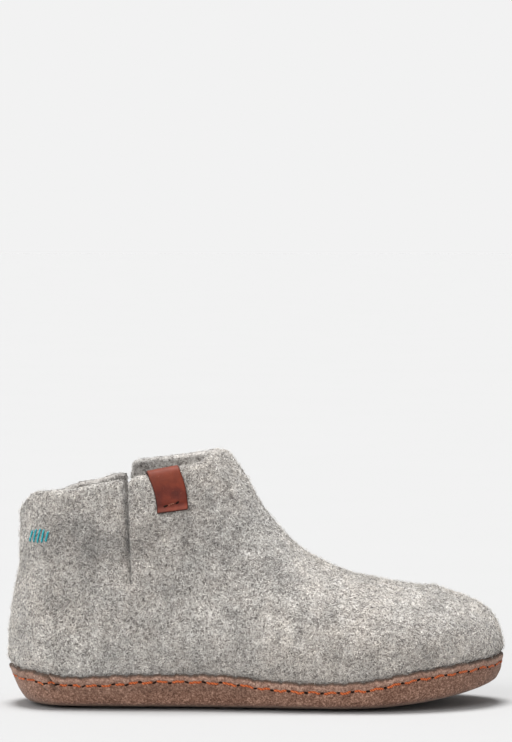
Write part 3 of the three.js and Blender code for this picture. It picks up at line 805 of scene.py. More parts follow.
FELT_MAT = felt_material("wool_felt")
SUEDE_MAT = suede_material()
LEATHER_MAT = leather_material()
ORANGE = thread_material("orange_thread", lin(112, 46, 16), lin(180, 80, 32), lin(214, 118, 62))
TAN = thread_material("tan_thread", lin(72, 32, 20), lin(116, 60, 40), lin(148, 88, 62))
TURQUOISE = thread_material("turquoise_thread", lin(6, 96, 108), lin(16, 146, 160), lin(70, 196, 200), 1.4)
HOLE_SHADE = hole_shade_material()


def add_attribute(piece, name, values):
    layer = piece.data.attributes.new(name, "FLOAT", "POINT")
    layer.data.foreach_set("value", np.asarray(values, np.float32))


def tone_and_painted_light(p):
    """How much lighter or darker the wool is drawn at points p, partly its own tone and partly painted light and shade:
    listed places outside, soft lumps elsewhere.
    """
    outside = smooth(-p[..., 1] / 14.0)
    total = np.zeros(p.shape[:-1])
    for x, z, wide, much in zip(*(TONE_AND_PAINTED_LIGHT[k] for k in "x z wide much".split())):
        total += much * np.exp(-(((p[..., 0] - x) ** 2 + (p[..., 2] - z) ** 2) / wide**2))
    # the rear panel rolls into the slit, out of the light
    off = p[..., 0] - slit_x(p[..., 2])
    total -= 0.42 * np.exp(-(((off + 0.7) / 1.5) ** 2)) * smooth((p[..., 2] - SLIT_LOW_Z - 1) / 26.0)
    return total * outside + 0.16 * lumps(p, 26.0, 51) * (1 - outside)


# ---- upper ------------------------------------------------------------------------------
points, faces, outer_quads, outer_points = felt_mesh()
upper = make("felt_upper", points, faces, FELT_MAT)
# the wool's tone with painted light and shade, kept per point
add_attribute(upper, "shade", tone_and_painted_light(points))
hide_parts("upper")
tree = BVHTree.FromPolygons([Vector(v) for v in outer_points], [tuple(int(k) for k in q) for q in outer_quads])
inner_tree_points = np.concatenate([(nose + np.array([-FELT, 0, 0]))[None], in_rear.reshape(-1, 3)])


def on_felt(x, z, side=-1, out=0.0):
    """The point of the upper's outer wall seen at x, z from one side, moved out by some mm, and its normal."""
    hit = tree.ray_cast(Vector((x, side * 120.0, z)), Vector((0, -side, 0)))
    if hit[0] is None:
        return None, None
    n = np.array(hit[1])
    if n[1] * side < 0:
        n = -n
    return np.array(hit[0]) + n * out, n


# ---- fibres ------------------------------------------------------------------------------
def fibres(name, count, seed, length, radius, lift, material, bent=False, spots=None):
    """Short tapered wool fibres lying on the felt, as one joined mesh. Each is a closed sliver."""
    rng = np.random.default_rng(seed)
    q = outer_quads
    v = outer_points[q]
    cross = np.cross(v[:, 2] - v[:, 0], v[:, 3] - v[:, 1])
    area = np.linalg.norm(cross, axis=1) / 2
    middle = v.mean(1)
    weight = area * (middle[:, 2] > rim_line(middle[:, 0]) + 0.8)
    if spots is not None:
        weight = weight * spots(middle)
    pick = rng.choice(len(q), count, p=weight / weight.sum())
    n = cross[pick] / np.maximum(np.linalg.norm(cross[pick], axis=1, keepdims=True), 1e-9)
    s, t = rng.random((2, count, 1))
    a = v[pick]
    root = (a[:, 0] * (1 - s) + a[:, 1] * s) * (1 - t) + (a[:, 3] * (1 - s) + a[:, 2] * s) * t
    # which way a fibre lies: at random
    ref = np.cross(n, rng.normal(size=(count, 3)))
    ref /= np.maximum(np.linalg.norm(ref, axis=1, keepdims=True), 1e-9)
    side = np.cross(n, ref)
    span = rng.uniform(*length, (count, 1))
    r = rng.uniform(*radius, (count, 1))
    rise = rng.uniform(*lift, (count, 1))
    curl = rng.normal(0, 0.28, (count, 1)) * span
    rings_at = (0.5,) if not bent else (0.33, 0.68)
    tip_a = root - ref * span / 2 - n * 0.25
    tip_b = root + ref * span / 2 + n * (rise - 0.25 * (rise < 0.25)) + side * curl * 0.3
    pts, faces_out = [tip_a, tip_b], []
    for k, f in enumerate(rings_at):
        arch = (0.10 + 0.5 * np.minimum(rise, 0.5)) if not bent else rise * (0.45, 0.95)[k]
        mid = root + ref * span * (f - 0.5) + n * arch + side * curl * (0.5 if not bent else (0.45, -0.15)[k])
        for m in range(3):
            angle = 2 * math.pi * m / 3 + 0.4
            pts.append(mid + (side * math.cos(angle) + n * math.sin(angle)) * r)
    per = len(pts)
    cloud = np.stack(pts, 1).reshape(-1, 3)
    base = (np.arange(count) * per)[:, None]
    first = [[0, 2 + (m + 1) % 3, 2 + m] for m in range(3)]
    last_ring = 2 if not bent else 5
    last = [[1, last_ring + m, last_ring + (m + 1) % 3] for m in range(3)]
    for tri in first + last:
        faces_out.append(base + np.array(tri))
    if bent:
        for m in range(3):
            o, p2 = m, (m + 1) % 3
            faces_out.append(base + np.array([2 + o, 2 + p2, 5 + p2]))
            faces_out.append(base + np.array([2 + o, 5 + p2, 5 + o]))
    piece = make(name, cloud, [np.concatenate(faces_out)], material)
    # each fibre takes the wool tone and painted light and shade found at its root
    add_attribute(piece, "shade", np.repeat(tone_and_painted_light(root), per))
    return piece


LIGHT = fibre_material("fibre_light", lin(190, 185, 178), lin(228, 224, 217))
GREY = fibre_material("fibre_grey", lin(122, 116, 110), lin(172, 166, 160))
DARK = fibre_material("fibre_dark", lin(50, 45, 42), lin(90, 83, 79))
COUNT = 1.0


def rough_heel(q):
    """Where the nap is rougher: round the heel, and a little less over the instep."""
    return 0.85 + 0.85 * smooth((62 - q[:, 0]) / 50) - 0.12 * np.exp(-(((q[:, 0] - 125) / 40) ** 2))


fibres("wool_fibres_light", int(27000 * COUNT), 11, (2.0, 4.6), (0.12, 0.21), (0.0, 0.35), LIGHT, spots=rough_heel)
fibres("wool_fibres_grey", int(25000 * COUNT), 12, (2.0, 4.6), (0.13, 0.22), (0.0, 0.30), GREY)
fibres("wool_fibres_dark", int(17000 * COUNT), 13, (1.6, 3.8), (0.12, 0.20), (0.0, 0.15), DARK, spots=rough_heel)
fibres("wool_fuzz", int(13000 * COUNT), 14, (2.2, 5.0), (0.05, 0.09), (0.5, 1.5), LIGHT, bent=True)


# ---- outsole -----------------------------------------------------------------------------
AROUND_SOLE = 300  # points down each side, heel to toe


sole_edge = reader(SOLE_EDGE, "h", "in")


def ruler(edge):
    """Lengths along the sole's profile from the floor up, and the height at such a length."""
    h = np.concatenate([np.linspace(0, 12, 600), np.linspace(12.1, 60, 100)])
    length = np.concatenate([[0], np.cumsum(np.hypot(np.diff(h), np.diff(edge(h))))])
    return (lambda v: np.interp(v, h, length)), (lambda v: np.interp(v, length, h))


def sole_row(height_of, edge):
    """One closed line round the sole. height_of gives the height above the floor line at each x."""
    theta = np.linspace(0, math.pi, AROUND_SOLE + 1)
    xb, xf = 3.0, 262.0
    for _ in range(12):
        zb = height_of(np.array([xb]))[0]
        xb = float(back(zb) + drawn_in(zb))
        zf = height_of(np.array([xf]))[0]
        xf = float(front(zf + floor_line(xf)) - edge(zf))
    x = xb + (xf - xb) * (1 - np.cos(theta)) / 2
    h = height_of(x)
    z = floor_line(x) + h
    lines = []
    for name, sign in (("outer", -1), ("inner", 1)):
        w = np.maximum(half_width(name, x, z, edge), 0)
        w[0] = w[-1] = 0
        lines.append(np.stack([x, swing(x) + sign * w, z], -1))
    return np.concatenate([lines[0], lines[1][1:-1][::-1]])


def rim_height(x):
    wave = 0.32 * np.sin(x * 0.55 + 0.6) + 0.22 * np.sin(x * 1.31 + 2.0) + 0.15 * np.sin(x * 2.7)
    return rim_line(x) - floor_line(x) + wave


def side_grid(edge, fine, steps):
    """Lines from the rim down to the floor: first at fine lengths, then at even ones."""
    to_length, to_height = ruler(edge)
    rows = [sole_row(lambda x, t=t: to_height(to_length(rim_height(x)) - t), edge) for t in fine]
    for k in range(1, steps + 1):
        rows.append(sole_row(lambda x, f=k / steps: to_height((to_length(rim_height(x)) - fine[-1]) * (1 - f)), edge))
    rows = np.array(rows)
    n = -normals_of(rows[::-1])[::-1]
    n[-1] = n[-1] * 0.5 + np.array([0, 0, -0.5])
    n[-1] /= np.linalg.norm(n[-1], axis=-1, keepdims=True)
    return rows, n


def sole_mesh():
    fine = [0, 0.5, 1.0, 1.6, 2.2, 2.8, 3.3, 3.7, 4.1, 4.5, 4.9, 5.3, 5.8, 6.4]
    steps = 21
    side, n = side_grid(sole_edge, fine, steps)  # rim down to the floor
    depth = np.array(list(fine) + [7 + 20 * k / steps for k in range(1, steps + 1)])
    n[:, 0] = n[:, 0] * np.array([1, 0, 1])
    x = side[..., 0]
    t = depth[:, None] + 0 * x
    # the seam's groove, a soft pinch at the heel and an uneven cut edge
    seam = np.exp(-(((t - stitch_below(x)) / 0.75) ** 2)) * (depth[:, None] < 6.6)
    heel_part = smooth((70 - x) / 40)
    move = -RIM_SET - (0.55 + 0.35 * heel_part) * seam
    move = move + 0.35 * np.exp(-(((t - 1.6) / 1.5) ** 2)) + 0.16 * lumps(side, 5.0, 21) * (t > 0.2) + 0.3 * lumps(side, 16.0, 22) * smooth((t - 4) / 8) * smooth((side[..., 2] - floor_line(x) - 1.0) / 4)
    move = move + 0.7 * heel_part * smooth((x - 6) / 10) * np.exp(-(((side[..., 2] - 5.5) / 3.2) ** 2))
    near = side[..., 1] < 0
    fold = (x - 23.9) + (t - 3.1) * -0.7
    band = smooth((9.0 - t) / 3.4) * near
    move = move + band * (1.3 * np.exp(-(((fold + 3.6) / 2.2) ** 2)) - 1.7 * np.exp(-(((fold - 0.2) / 1.1) ** 2)) + 0.5 * np.exp(-(((fold - 3.2) / 1.6) ** 2)))
    move = move - 0.9 * np.exp(-(((x - 18.7 - (t - 4.9) * 0.84) / 1.1) ** 2)) * smooth((t - 3.6) / 1.2) * smooth((10.5 - t) / 2.5) * near
    wrinkle = np.sin((x * 1.25 + t * 0.9)) * smooth((18 - x) / 6) * smooth((5.0 - t) / 2.5) * near
    move = move + 0.32 * wrinkle
    dents = 0.35 * lumps(side, 7.0, 23) * np.exp(-(((t - 8) / 3.5) ** 2))
    move = move + dents
    flat = smooth((side[..., 2] - floor_line(x)) / 2.5)
    outer = side + n * (move * flat)[..., None]
    outer[..., 2] = np.where(side[..., 2] - floor_line(x) < 1e-6, side[..., 2], outer[..., 2])
    # top edge and inner face
    top_n = n[0]
    edge_rows, edge_depth = [], []
    inward = top_n * np.array([1, 1, 0])
    inward /= np.maximum(np.linalg.norm(inward, axis=-1, keepdims=True), 1e-9)
    bristle = 0.2 * lumps(side[0], 2.2, 24)[:, None] * np.array([0, 0, 1])
    for f, rise in ((0.95, -0.55), (0.72, -0.12), (0.4, 0.12), (0.12, 0.10)):
        edge_rows.append(outer[0] - inward * (SUEDE_RIM * (1 - f)) + np.array([0, 0, 1]) * (rise + 0.35) + bristle)
    soft_side, soft_n = side_grid(drawn_in, [0, 3.0, 6.4], 9)
    inner_side = soft_side - soft_n * (RIM_SET + SUEDE_RIM + (SUEDE_FLOOR - RIM_SET - SUEDE_RIM) * np.maximum(0, -soft_n[..., 2:3]) ** 2)
    inner_rows = [row for row in inner_side[:-1]]
    inner_floor = soft_side[-1].copy()
    inner_floor[:, 2] = floor_line(inner_floor[:, 0]) + SUEDE_FLOOR
    inner_rows.append(inner_floor)
    bottom = outer[-1]
    centre = swing(bottom[:, 0])

    def fill(row, f):
        out = row.copy()
        out[:, 1] = centre + (row[:, 1] - centre) * f
        return out

    # order: underside centre, out to the edge, up the side, over the edge, down inside, floor centre
    stack = [fill(bottom, f) for f in (0.0, 0.25, 0.5, 0.75)] + [outer[k] for k in range(len(outer) - 1, -1, -1)]
    stack += edge_rows[::1]
    stack += inner_rows + [fill(inner_floor, f) for f in (0.66, 0.33, 0.0)]
    stack = np.array(stack)
    count = stack.shape[1]
    ids = np.arange(stack.shape[0] * count).reshape(stack.shape[:2])
    # the two centre lines are single: weld the far half's points to the near half's
    for row in (0, len(stack) - 1):
        for k in range(1, AROUND_SOLE):
            ids[row, count - k] = ids[row, k]
    # the ends of every line lie on one point of the centre in the fills
    a, b = ids[:-1], np.roll(ids, -1, 1)[:-1]
    c, d = np.roll(ids, -1, 1)[1:], ids[1:]
    quads = np.stack([a, b, c, d], -1).reshape(-1, 4)
    degenerate = (quads[:, 0] == quads[:, 1]) | (quads[:, 2] == quads[:, 3])
    points = stack.reshape(-1, 3)
    used = np.zeros(len(points), bool)
    used[quads.ravel()] = True
    new = np.cumsum(used) - 1
    lip = np.zeros(stack.shape[:2])
    raw_edge_and_crease_shade = np.zeros(stack.shape[:2])
    streak = 0.35 * lumps(outer[0], 9.0, 25)
    under = np.zeros(stack.shape[:2])
    first_side = 4
    for k in range(len(outer)):
        row = first_side + len(outer) - 1 - k
        t_row = depth[k]
        # paler suede on the lip, with a painted highlight in a streak along its rounded roll
        lip[row] = np.clip((stitch_below(outer[k][:, 0]) + 0.1 - t_row) / 0.8, 0, 1) * (0.62 + 0.5 * np.exp(-(((t_row - 1.7 - streak) / 0.8) ** 2))) if t_row < 7 else 0
        pleat = (side[k][:, 0] - 23.9) - (t_row - 3.1) * 0.7
        second = (side[k][:, 0] - 18.7) - (t_row - 4.9) * 0.84
        on_pleat = smooth((9.0 - t_row) / 3.4) * (outer[k][:, 1] < 0)
        # dark raw edge at the top of the suede, and painted shade in the pleat's trough
        raw_edge_and_crease_shade[row] = np.maximum(smooth((0.75 - t_row) / 0.5), 1.2 * np.exp(-(((pleat - 0.2) / 1.15) ** 2)) * on_pleat)
        # painted shade in a second crease near the heel
        raw_edge_and_crease_shade[row] = np.maximum(raw_edge_and_crease_shade[row], 0.8 * np.exp(-((second / 0.9) ** 2)) * smooth((t_row - 3.8) / 1.0) * smooth((9.5 - t_row) / 3) * (side[k][:, 1] < 0))
        # painted highlight on the pleat's ridge
        lip[row] += 0.4 * np.exp(-(((pleat + 3.6) / 1.8) ** 2)) * on_pleat
        # painted shade towards the floor
        under[row] = smooth((1.5 - (outer[k][:, 2] - floor_line(outer[k][:, 0]))) / 1.5)
        # painted shade: the suede is darker in a band below the stitches, as the shadow under the seam
        below = t_row - stitch_below(side[k][:, 0]) - 2.6
        under[row] = np.maximum(under[row], 0.95 * np.exp(-((below / np.where(below < 0, 1.4, 3.2)) ** 2)) * smooth((side[k][:, 0] - 22) / 14) * smooth((175 - side[k][:, 0]) / 50))
        lip[row] = np.maximum(lip[row], 0.38 * smooth((34 - outer[k][:, 0]) / 26))
    # painted shade on the underside
    under[:4] = 1
    lip[first_side + len(outer) : first_side + len(outer) + 4] = 1.0
    raw_edge_and_crease_shade[first_side + len(outer) : first_side + len(outer) + 4] = 1.0
    return points[used], new[quads], lip.ravel()[used], raw_edge_and_crease_shade.ravel()[used], under.ravel()[used], outer, n, depth


sole_points, sole_quads, lip, raw_edge_and_crease_shade, under, sole_side, sole_n, sole_depth = sole_mesh()
outsole = make("suede_outsole", sole_points, [sole_quads], SUEDE_MAT)
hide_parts("outsole")


add_attribute(outsole, "lip", lip)
add_attribute(outsole, "raw_edge_and_crease_shade", raw_edge_and_crease_shade)
add_attribute(outsole, "under", under)

# ---- stitches round the sole --------------------------------------------------------------
seam_row = np.array([
    [np.interp(float(stitch_below(sole_side[0, c, 0])), sole_depth[:14], sole_side[:14, c, k]) for k in range(3)]
    for c in range(sole_side.shape[1])
])
seam_n = np.array([
    [np.interp(float(stitch_below(sole_side[0, c, 0])), sole_depth[:14], sole_n[:14, c, k]) for k in range(3)]
    for c in range(sole_side.shape[1])
])
loop = np.concatenate([seam_row, seam_row[:1]])
loop_n = np.concatenate([seam_n, seam_n[:1]])
run = np.concatenate([[0], np.cumsum(np.linalg.norm(np.diff(loop, axis=0), axis=1))])
near_end = run[AROUND_SOLE]


def seam_at(s):
    s = np.asarray(s) % run[-1]
    p = np.stack([np.interp(s, run, loop[:, k]) for k in range(3)], -1)
    n = np.stack([np.interp(s, run, loop_n[:, k]) for k in range(3)], -1)
    return p, n / np.linalg.norm(n, axis=-1, keepdims=True)


def tube(path, radius, sides=8, flat=1.0, normal=None):
    """A closed round thread along a path, its ends rounded off."""
    path = np.asarray(path, float)
    count = len(path)
    tangent = np.gradient(path, axis=0)
    tangent /= np.maximum(np.linalg.norm(tangent, axis=1, keepdims=True), 1e-9)
    up = np.cross(tangent, normal if normal is not None else np.array([0, 0, 1.0]))
    up /= np.maximum(np.linalg.norm(up, axis=1, keepdims=True), 1e-9)
    other = np.cross(up, tangent)
    pts = [path[0] - tangent[0] * radius * 0.4]
    for k in range(count):
        r = radius * (0.55 if k in (0, count - 1) else 1.0)
        for m in range(sides):
            angle = 2 * math.pi * m / sides + 0.35 * k
            pts.append(path[k] + (up[k] * math.cos(angle) + other[k] * math.sin(angle) * flat) * r)
    pts.append(path[-1] + tangent[-1] * radius * 0.4)
    faces = []
    last = len(pts) - 1
    for m in range(sides):
        faces.append([0, 1 + (m + 1) % sides, 1 + m, 1 + m])
        for k in range(count - 1):
            a, b = 1 + k * sides + m, 1 + k * sides + (m + 1) % sides
            faces.append([a, b, b + sides, a + sides])
        faces.append([last, last - sides + m, last - sides + (m + 1) % sides, last - sides + (m + 1) % sides])
    tris = [f[:3] for f in faces if f[2] == f[3]]
    quads = [f for f in faces if f[2] != f[3]]
    return np.array(pts), np.array(quads)[:, ::-1], np.array(tris)[:, ::-1]


def joined(parts):
    points, quads, tris, base = [], [], [], 0
    for p, q, t in parts:
        points.append(p)
        quads.append(q + base)
        tris.append(t + base)
        base += len(p)
    return np.concatenate(points), [np.concatenate(quads), np.concatenate(tris)]


def blob(centre, n, along, size):
    """A small closed flattened bead, for the shadowed mouth of a stitch hole."""
    side = np.cross(n, along)
    pts, quads, tris = [centre + n * size[2]], [], []
    rows, around = 3, 10
    for i in range(1, rows + 1):
        phi = math.pi * i / (rows + 1)
        for m in range(around):
            a = 2 * math.pi * m / around
            pts.append(centre + n * size[2] * math.cos(phi) + (along * size[0] * math.cos(a) + side * size[1] * math.sin(a)) * math.sin(phi))
    pts.append(centre - n * size[2])
    last = len(pts) - 1
    for m in range(around):
        o = (m + 1) % around
        tris.append([0, 1 + m, 1 + o])
        for i in range(rows - 1):
            quads.append([1 + i * around + m, 1 + (i + 1) * around + m, 1 + (i + 1) * around + o, 1 + i * around + o])
        tris.append([last, last - around + o, last - around + m])
    return np.array(pts), np.array(quads), np.array(tris)


# distance from the heel of each hole on the outer side, then even steps on the inner side
HOLES = table("x", *[(v,) for v in (
    2.0, 6.3, 10.9, 16.9, 21.9, 28.4, 35.2, 42.3, 50.6, 58.1, 65.1, 72.2, 79.8, 87.9, 96.8, 106.0,
    114.7, 124.0, 133.0, 141.7, 150.4, 159.7, 168.0, 176.6, 184.0, 192.1, 201.2, 210.3, 218.8,
    226.3, 233.3, 239.6, 245.6, 251.0, 256.0, 260.4, 263.2)])
near_x = loop[: AROUND_SOLE + 1, 0]
stops = list(np.interp(HOLES["x"], near_x, run[: AROUND_SOLE + 1]))
rest = run[-1] - stops[-1] + stops[0]
more = int(round(rest / 8.3))
stops += [stops[-1] + rest * k / more for k in range(1, more)]
rng = np.random.default_rng(5)
threads, holes = [], []
for k, s0 in enumerate(stops):
    s1 = stops[k + 1] if k + 1 < len(stops) else stops[0] + run[-1]
    ahead_of, short = (0.6, 1.2) if k < 4 else ((1.1, 2.0) if k < 7 else ((0.75, 1.5) if k < 16 else (0.5, 1.15)))
    s = np.linspace(s0 + ahead_of, s1 - short, 11)
    p, n = seam_at(s)
    f = np.linspace(0, 1, 11)
    height = -0.80 + 1.16 * quarter(f / 0.2) * quarter((1 - f) / 0.2)
    wander = np.sin(f * math.pi) * rng.normal(0.05, 0.10) + (f - 0.5) * rng.normal(0, 0.22)
    path = p + n * height[:, None] + np.array([0, 0, 1.0]) * wander[:, None]
    threads.append(tube(path, 0.64 + rng.normal(0, 0.03), normal=n, flat=0.75))
    hp, hn = seam_at(np.array([s0 - 0.35]))
    ahead, _ = seam_at(np.array([s0 + 0.4]))
    along = (ahead - hp)[0]
    along /= np.linalg.norm(along)
    wide = 1.15 + rng.uniform(-0.15, 0.3) + (0.45 if 4 <= k < 10 else 0.1)
    # a dark bead in each hole's mouth: painted shadow
    holes.append(blob(hp[0] + hn[0] * -0.10 + np.array([0, 0, rng.uniform(-0.25, 0.35)]), hn[0], along, (wide, 0.85, 0.5)))
pts, fcs = joined(threads)
make("sole_stitches", pts, fcs, ORANGE)
pts, fcs = joined(holes)
make("sole_stitch_hole_shade", pts, fcs, HOLE_SHADE)


# ---- insole -------------------------------------------------------------------------------
def insole_mesh():
    def outline(inset, z):
        theta = np.linspace(0, math.pi, 81)
        xb, xf = back(20.0) + inset, LENGTH - inset
        x = xb + (xf - xb) * (1 - np.cos(theta)) / 2
        lines = []
        for name, sign in (("outer", -1), ("inner", 1)):
            w = (plan[name](x) * 0.985 - inset) * quarter((x - xb) / (31 - inset)) * quarter((xf - x) / (TOE_ROUND - inset))
            w[0] = w[-1] = 0
            lines.append(np.stack([x, swing(x) + sign * w, floor_line(x) + z], -1))
        return np.concatenate([lines[0], lines[1][1:-1][::-1]])

    top = SUEDE_FLOOR + GAP + FELT_LOW + GAP + INSOLE
    margin = SUEDE_FLOOR + GAP + FELT_LOW + GAP
    floor = SUEDE_FLOOR + GAP
    rows = []

    def fill(row, f, dome=0.0):
        out = row.copy()
        centre = swing(row[:, 0])
        out[:, 1] = centre + (row[:, 1] - centre) * f
        out[:, 2] += dome
        return out

    edge = outline(9.0, top - 0.25)
    rows += [fill(edge, f, 0.2) for f in (0.0, 0.3, 0.6, 0.85)]
    rows += [edge, outline(8.1, top - 0.9), outline(8.0, top - 1.8), outline(8.8, top - 2.9), outline(11.0, margin + 0.3), outline(16.35, margin), outline(16.35, floor)]
    rows += [fill(outline(16.35, floor), f) for f in (0.6, 0.3, 0.0)]
    stack = np.array(rows)
    stack[:5, :, 2] += 0.25 * lumps(stack[:5], 22.0, 41)
    count = stack.shape[1]
    ids = np.arange(stack.shape[0] * count).reshape(stack.shape[:2])
    for row in (0, len(stack) - 1):
        for k in range(1, 80):
            ids[row, count - k] = ids[row, k]
        stack[row, :, :] = stack[row, :, :]
    a, b = ids[:-1], np.roll(ids, -1, 1)[:-1]
    c, d = np.roll(ids, -1, 1)[1:], ids[1:]
    quads = np.stack([a, d, c, b], -1).reshape(-1, 4)
    points = stack.reshape(-1, 3)
    used = np.zeros(len(points), bool)
    used[quads.ravel()] = True
    new = np.cumsum(used) - 1
    return points[used], new[quads]


INSOLE_MAT = felt_material("insole_felt", 1.02)
insole_points, insole_quads = insole_mesh()
insole = make("felt_insole", insole_points, [insole_quads], INSOLE_MAT)
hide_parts("insole")


# ---- side tab -----------------------------------------------------------------------------
def tab_mesh():
    """A strip of leather folded over the outer collar edge: down outside, over, down inside."""
    drop = 24
    places = np.array([-0.5, -0.485, -0.46, -0.43, -0.36, -0.26, -0.13, 0.0, 0.13, 0.26, 0.36, 0.43, 0.46, 0.485, 0.5])
    across = len(places)
    strip, strip_n = [], []
    for u in places:
        line, line_n = [], []
        top_x, low_x = 83.7 + u * TAB_WIDE, 89.0 + u * TAB_WIDE * 0.96
        rim_z = 107.8 + 0.245 * top_x - 1.1 - 0.05 * (top_x - 76)
        low_z = 104.7 + u * TAB_WIDE * 0.13
        for f in np.concatenate([[1.0, 0.99, 0.975, 0.95], np.linspace(0.9, 0, drop - 4)]):
            x = top_x + (low_x - top_x) * (1 - (1 - (f * 18.6 + 3.0) / 21.6) ** 2)
            z = rim_z - 3.4 + (low_z - rim_z + 3.4) * f
            flare = 0.75 * smooth((f - 0.86) / 0.14) - 0.45 * math.exp(-(((f - 0.81) / 0.05) ** 2))
            flare -= 0.55 * (1 - f) ** 6
            p, n = on_felt(x, z, -1, GAP + 0.45 + flare)
            line.append(p)
            line_n.append(n)
        outer_top, n_top = line[-1], line_n[-1]
        back_over = outer_top[0] - top_x + 1.1
        over = np.array([0.1, 1.0, 0.0])
        over /= np.linalg.norm(over)
        wall = FELT + 2 * GAP + 0.9
        centre = outer_top + np.array([0, 1, 0]) * wall / 2
        for a in np.linspace(0, math.pi, 11)[1:]:
            line.append(centre + np.array([0, -math.cos(a) * wall / 2, math.sin(a) * 3.0]) + np.array([-back_over, 0, 0]) * math.sin(a / 2))
            line_n.append(np.array([0, -math.cos(a), math.sin(a)]))
        inner_top = line[-1]
        for f in np.linspace(0, 1, 14)[1:]:
            x = top_x - 1.1 + (low_x - top_x) * f * 0.9
            z = rim_z - 3.4 + (low_z - rim_z + 3.4) * f * 0.9
            p, n = on_felt(x, z, -1, 0.0)
            line.append(p - n * (FELT + GAP + 0.5) + np.array([0, 0, 0]))
            line_n.append(-n)
        strip.append(line)
        strip_n.append(line_n)
    face = np.array(strip)
    n = np.array(strip_n)
    n /= np.linalg.norm(n, axis=-1, keepdims=True)
    # top face, rounded edges and back face as one closed strip
    thick = 1.3
    length = face.shape[1]
    from_side = (0.5 - np.abs(places)) * TAB_WIDE
    from_end = np.minimum(np.linalg.norm(face - face[:, :1], axis=-1), np.linalg.norm(face - face[:, -1:], axis=-1))
    near_edge = np.minimum(from_side[:, None], from_end)
    round_off = 0.55 * (1 - quarter(near_edge / 0.9))
    top = face + n * (thick - round_off)[..., None] + 0.05 * lumps(face, 3.0, 61)[..., None] * n
    low = face + n * 0.0
    ids_top = np.arange(across * length).reshape(across, length)
    ids_low = ids_top + across * length
    quads = []
    for i in range(across - 1):
        for j in range(length - 1):
            quads.append([ids_top[i, j], ids_top[i + 1, j], ids_top[i + 1, j + 1], ids_top[i, j + 1]])
            quads.append([ids_low[i, j], ids_low[i, j + 1], ids_low[i + 1, j + 1], ids_low[i + 1, j]])
    for j in range(length - 1):
        quads.append([ids_top[0, j], ids_top[0, j + 1], ids_low[0, j + 1], ids_low[0, j]])
        quads.append([ids_top[-1, j + 1], ids_top[-1, j], ids_low[-1, j], ids_low[-1, j + 1]])
    for i in range(across - 1):
        quads.append([ids_top[i + 1, 0], ids_top[i, 0], ids_low[i, 0], ids_low[i + 1, 0]])
        quads.append([ids_top[i, -1], ids_top[i + 1, -1], ids_low[i + 1, -1], ids_low[i, -1]])
    points = np.concatenate([top.reshape(-1, 3), low.reshape(-1, 3)])
    left_side = (places < 0)[:, None]
    edge_top = smooth((0.75 - near_edge) / 0.6) * np.where(left_side | (from_end < from_side[:, None]), 0.9, 0.45)
    tone = np.concatenate([edge_top.ravel(), np.full(across * length, 1.0)])
    # painted highlight: lighter where it is bent over the collar and along the strip below its stitches
    run_f = np.concatenate([[1.0, 0.99, 0.975, 0.95], np.linspace(0.9, 0, drop - 4), np.zeros(length - drop)])
    painted_highlight = 0.20 * smooth((run_f - 0.83) / 0.05) + 0.30 * smooth((0.42 - run_f) / 0.42)
    painted_highlight = np.tile(np.tile(painted_highlight, across), 2)
    return points, np.array(quads), tone, painted_highlight, face, n, thick, places


tab_points, tab_quads, tab_tone, tab_painted_highlight, tab_face, tab_n, tab_thick, tab_places = tab_mesh()
tab = make("leather_side_tab", tab_points, [tab_quads], LEATHER_MAT)
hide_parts("side_tab")
add_attribute(tab, "edge", tab_tone)
add_attribute(tab, "painted_highlight", tab_painted_highlight)
bevel = tab.modifiers.new("soft_edges", "BEVEL")
bevel.width, bevel.segments, bevel.limit_method, bevel.angle_limit = 0.00022, 2, "ANGLE", math.radians(50)

# the tab's stitches: two long ones across, near its lower edge
parts, dots = [], []
down = np.linalg.norm(tab_face - tab_face[:, :1], axis=-1)


def on_tab(u, drop_mm):
    """A point of the tab's outer face, u across from 0 to 1 and some mm above its lower edge."""
    i = int(np.clip(np.searchsorted(tab_places, u - 0.5) - 1, 0, len(tab_places) - 2))
    t = (u - 0.5 - tab_places[i]) / (tab_places[i + 1] - tab_places[i])
    both = []
    for c in (i, i + 1):
        both.append([np.array([np.interp(drop_mm, down[c, :20], grid[c, :20, k]) for k in range(3)]) for grid in (tab_face, tab_n)])
    p = both[0][0] * (1 - t) + both[1][0] * t
    n = both[0][1] * (1 - t) + both[1][1] * t
    return p, n / np.linalg.norm(n)


for u0, u1, tan in ((0.22, 0.36, False), (0.38, 0.60, True), (0.61, 0.74, False)):
    spots = [on_tab(u, 3.7 + 2.7 * (u - 0.3) + (0.0 if tan else 3.5 * (u - (u0 + u1) / 2))) for u in np.linspace(u0, u1, 9)]
    path, path_n = np.array([q[0] for q in spots]), np.array([q[1] for q in spots])
    along = path[-1] - path[0]
    along /= np.linalg.norm(along)
    k = np.linspace(0, 1, 9)
    if tan:
        lift = tab_thick - 0.45 + 0.55 * quarter(k / 0.25) * quarter((1 - k) / 0.25)
        parts.append(tube(path + path_n * lift[:, None], 0.38, normal=path_n))
    else:
        parts.append(tube(path + path_n * (tab_thick - 0.12), 0.22, normal=path_n))
        half = np.linalg.norm(path[-1] - path[0]) / 2
        middle = (path[0] + path[-1]) / 2
        mid_n = path_n[4]
        # a dark bead the length of the stitch: painted shadow in its holes
        dots.append(blob(middle + mid_n * (tab_thick - 0.10), mid_n, along, (half + 0.2, 0.62, 0.34)))
pts, fcs = joined(parts)
make("tab_stitches", pts, fcs, TAN)
pts, fcs = joined(dots)
make("tab_stitch_hole_shade", pts, fcs, HOLE_SHADE)

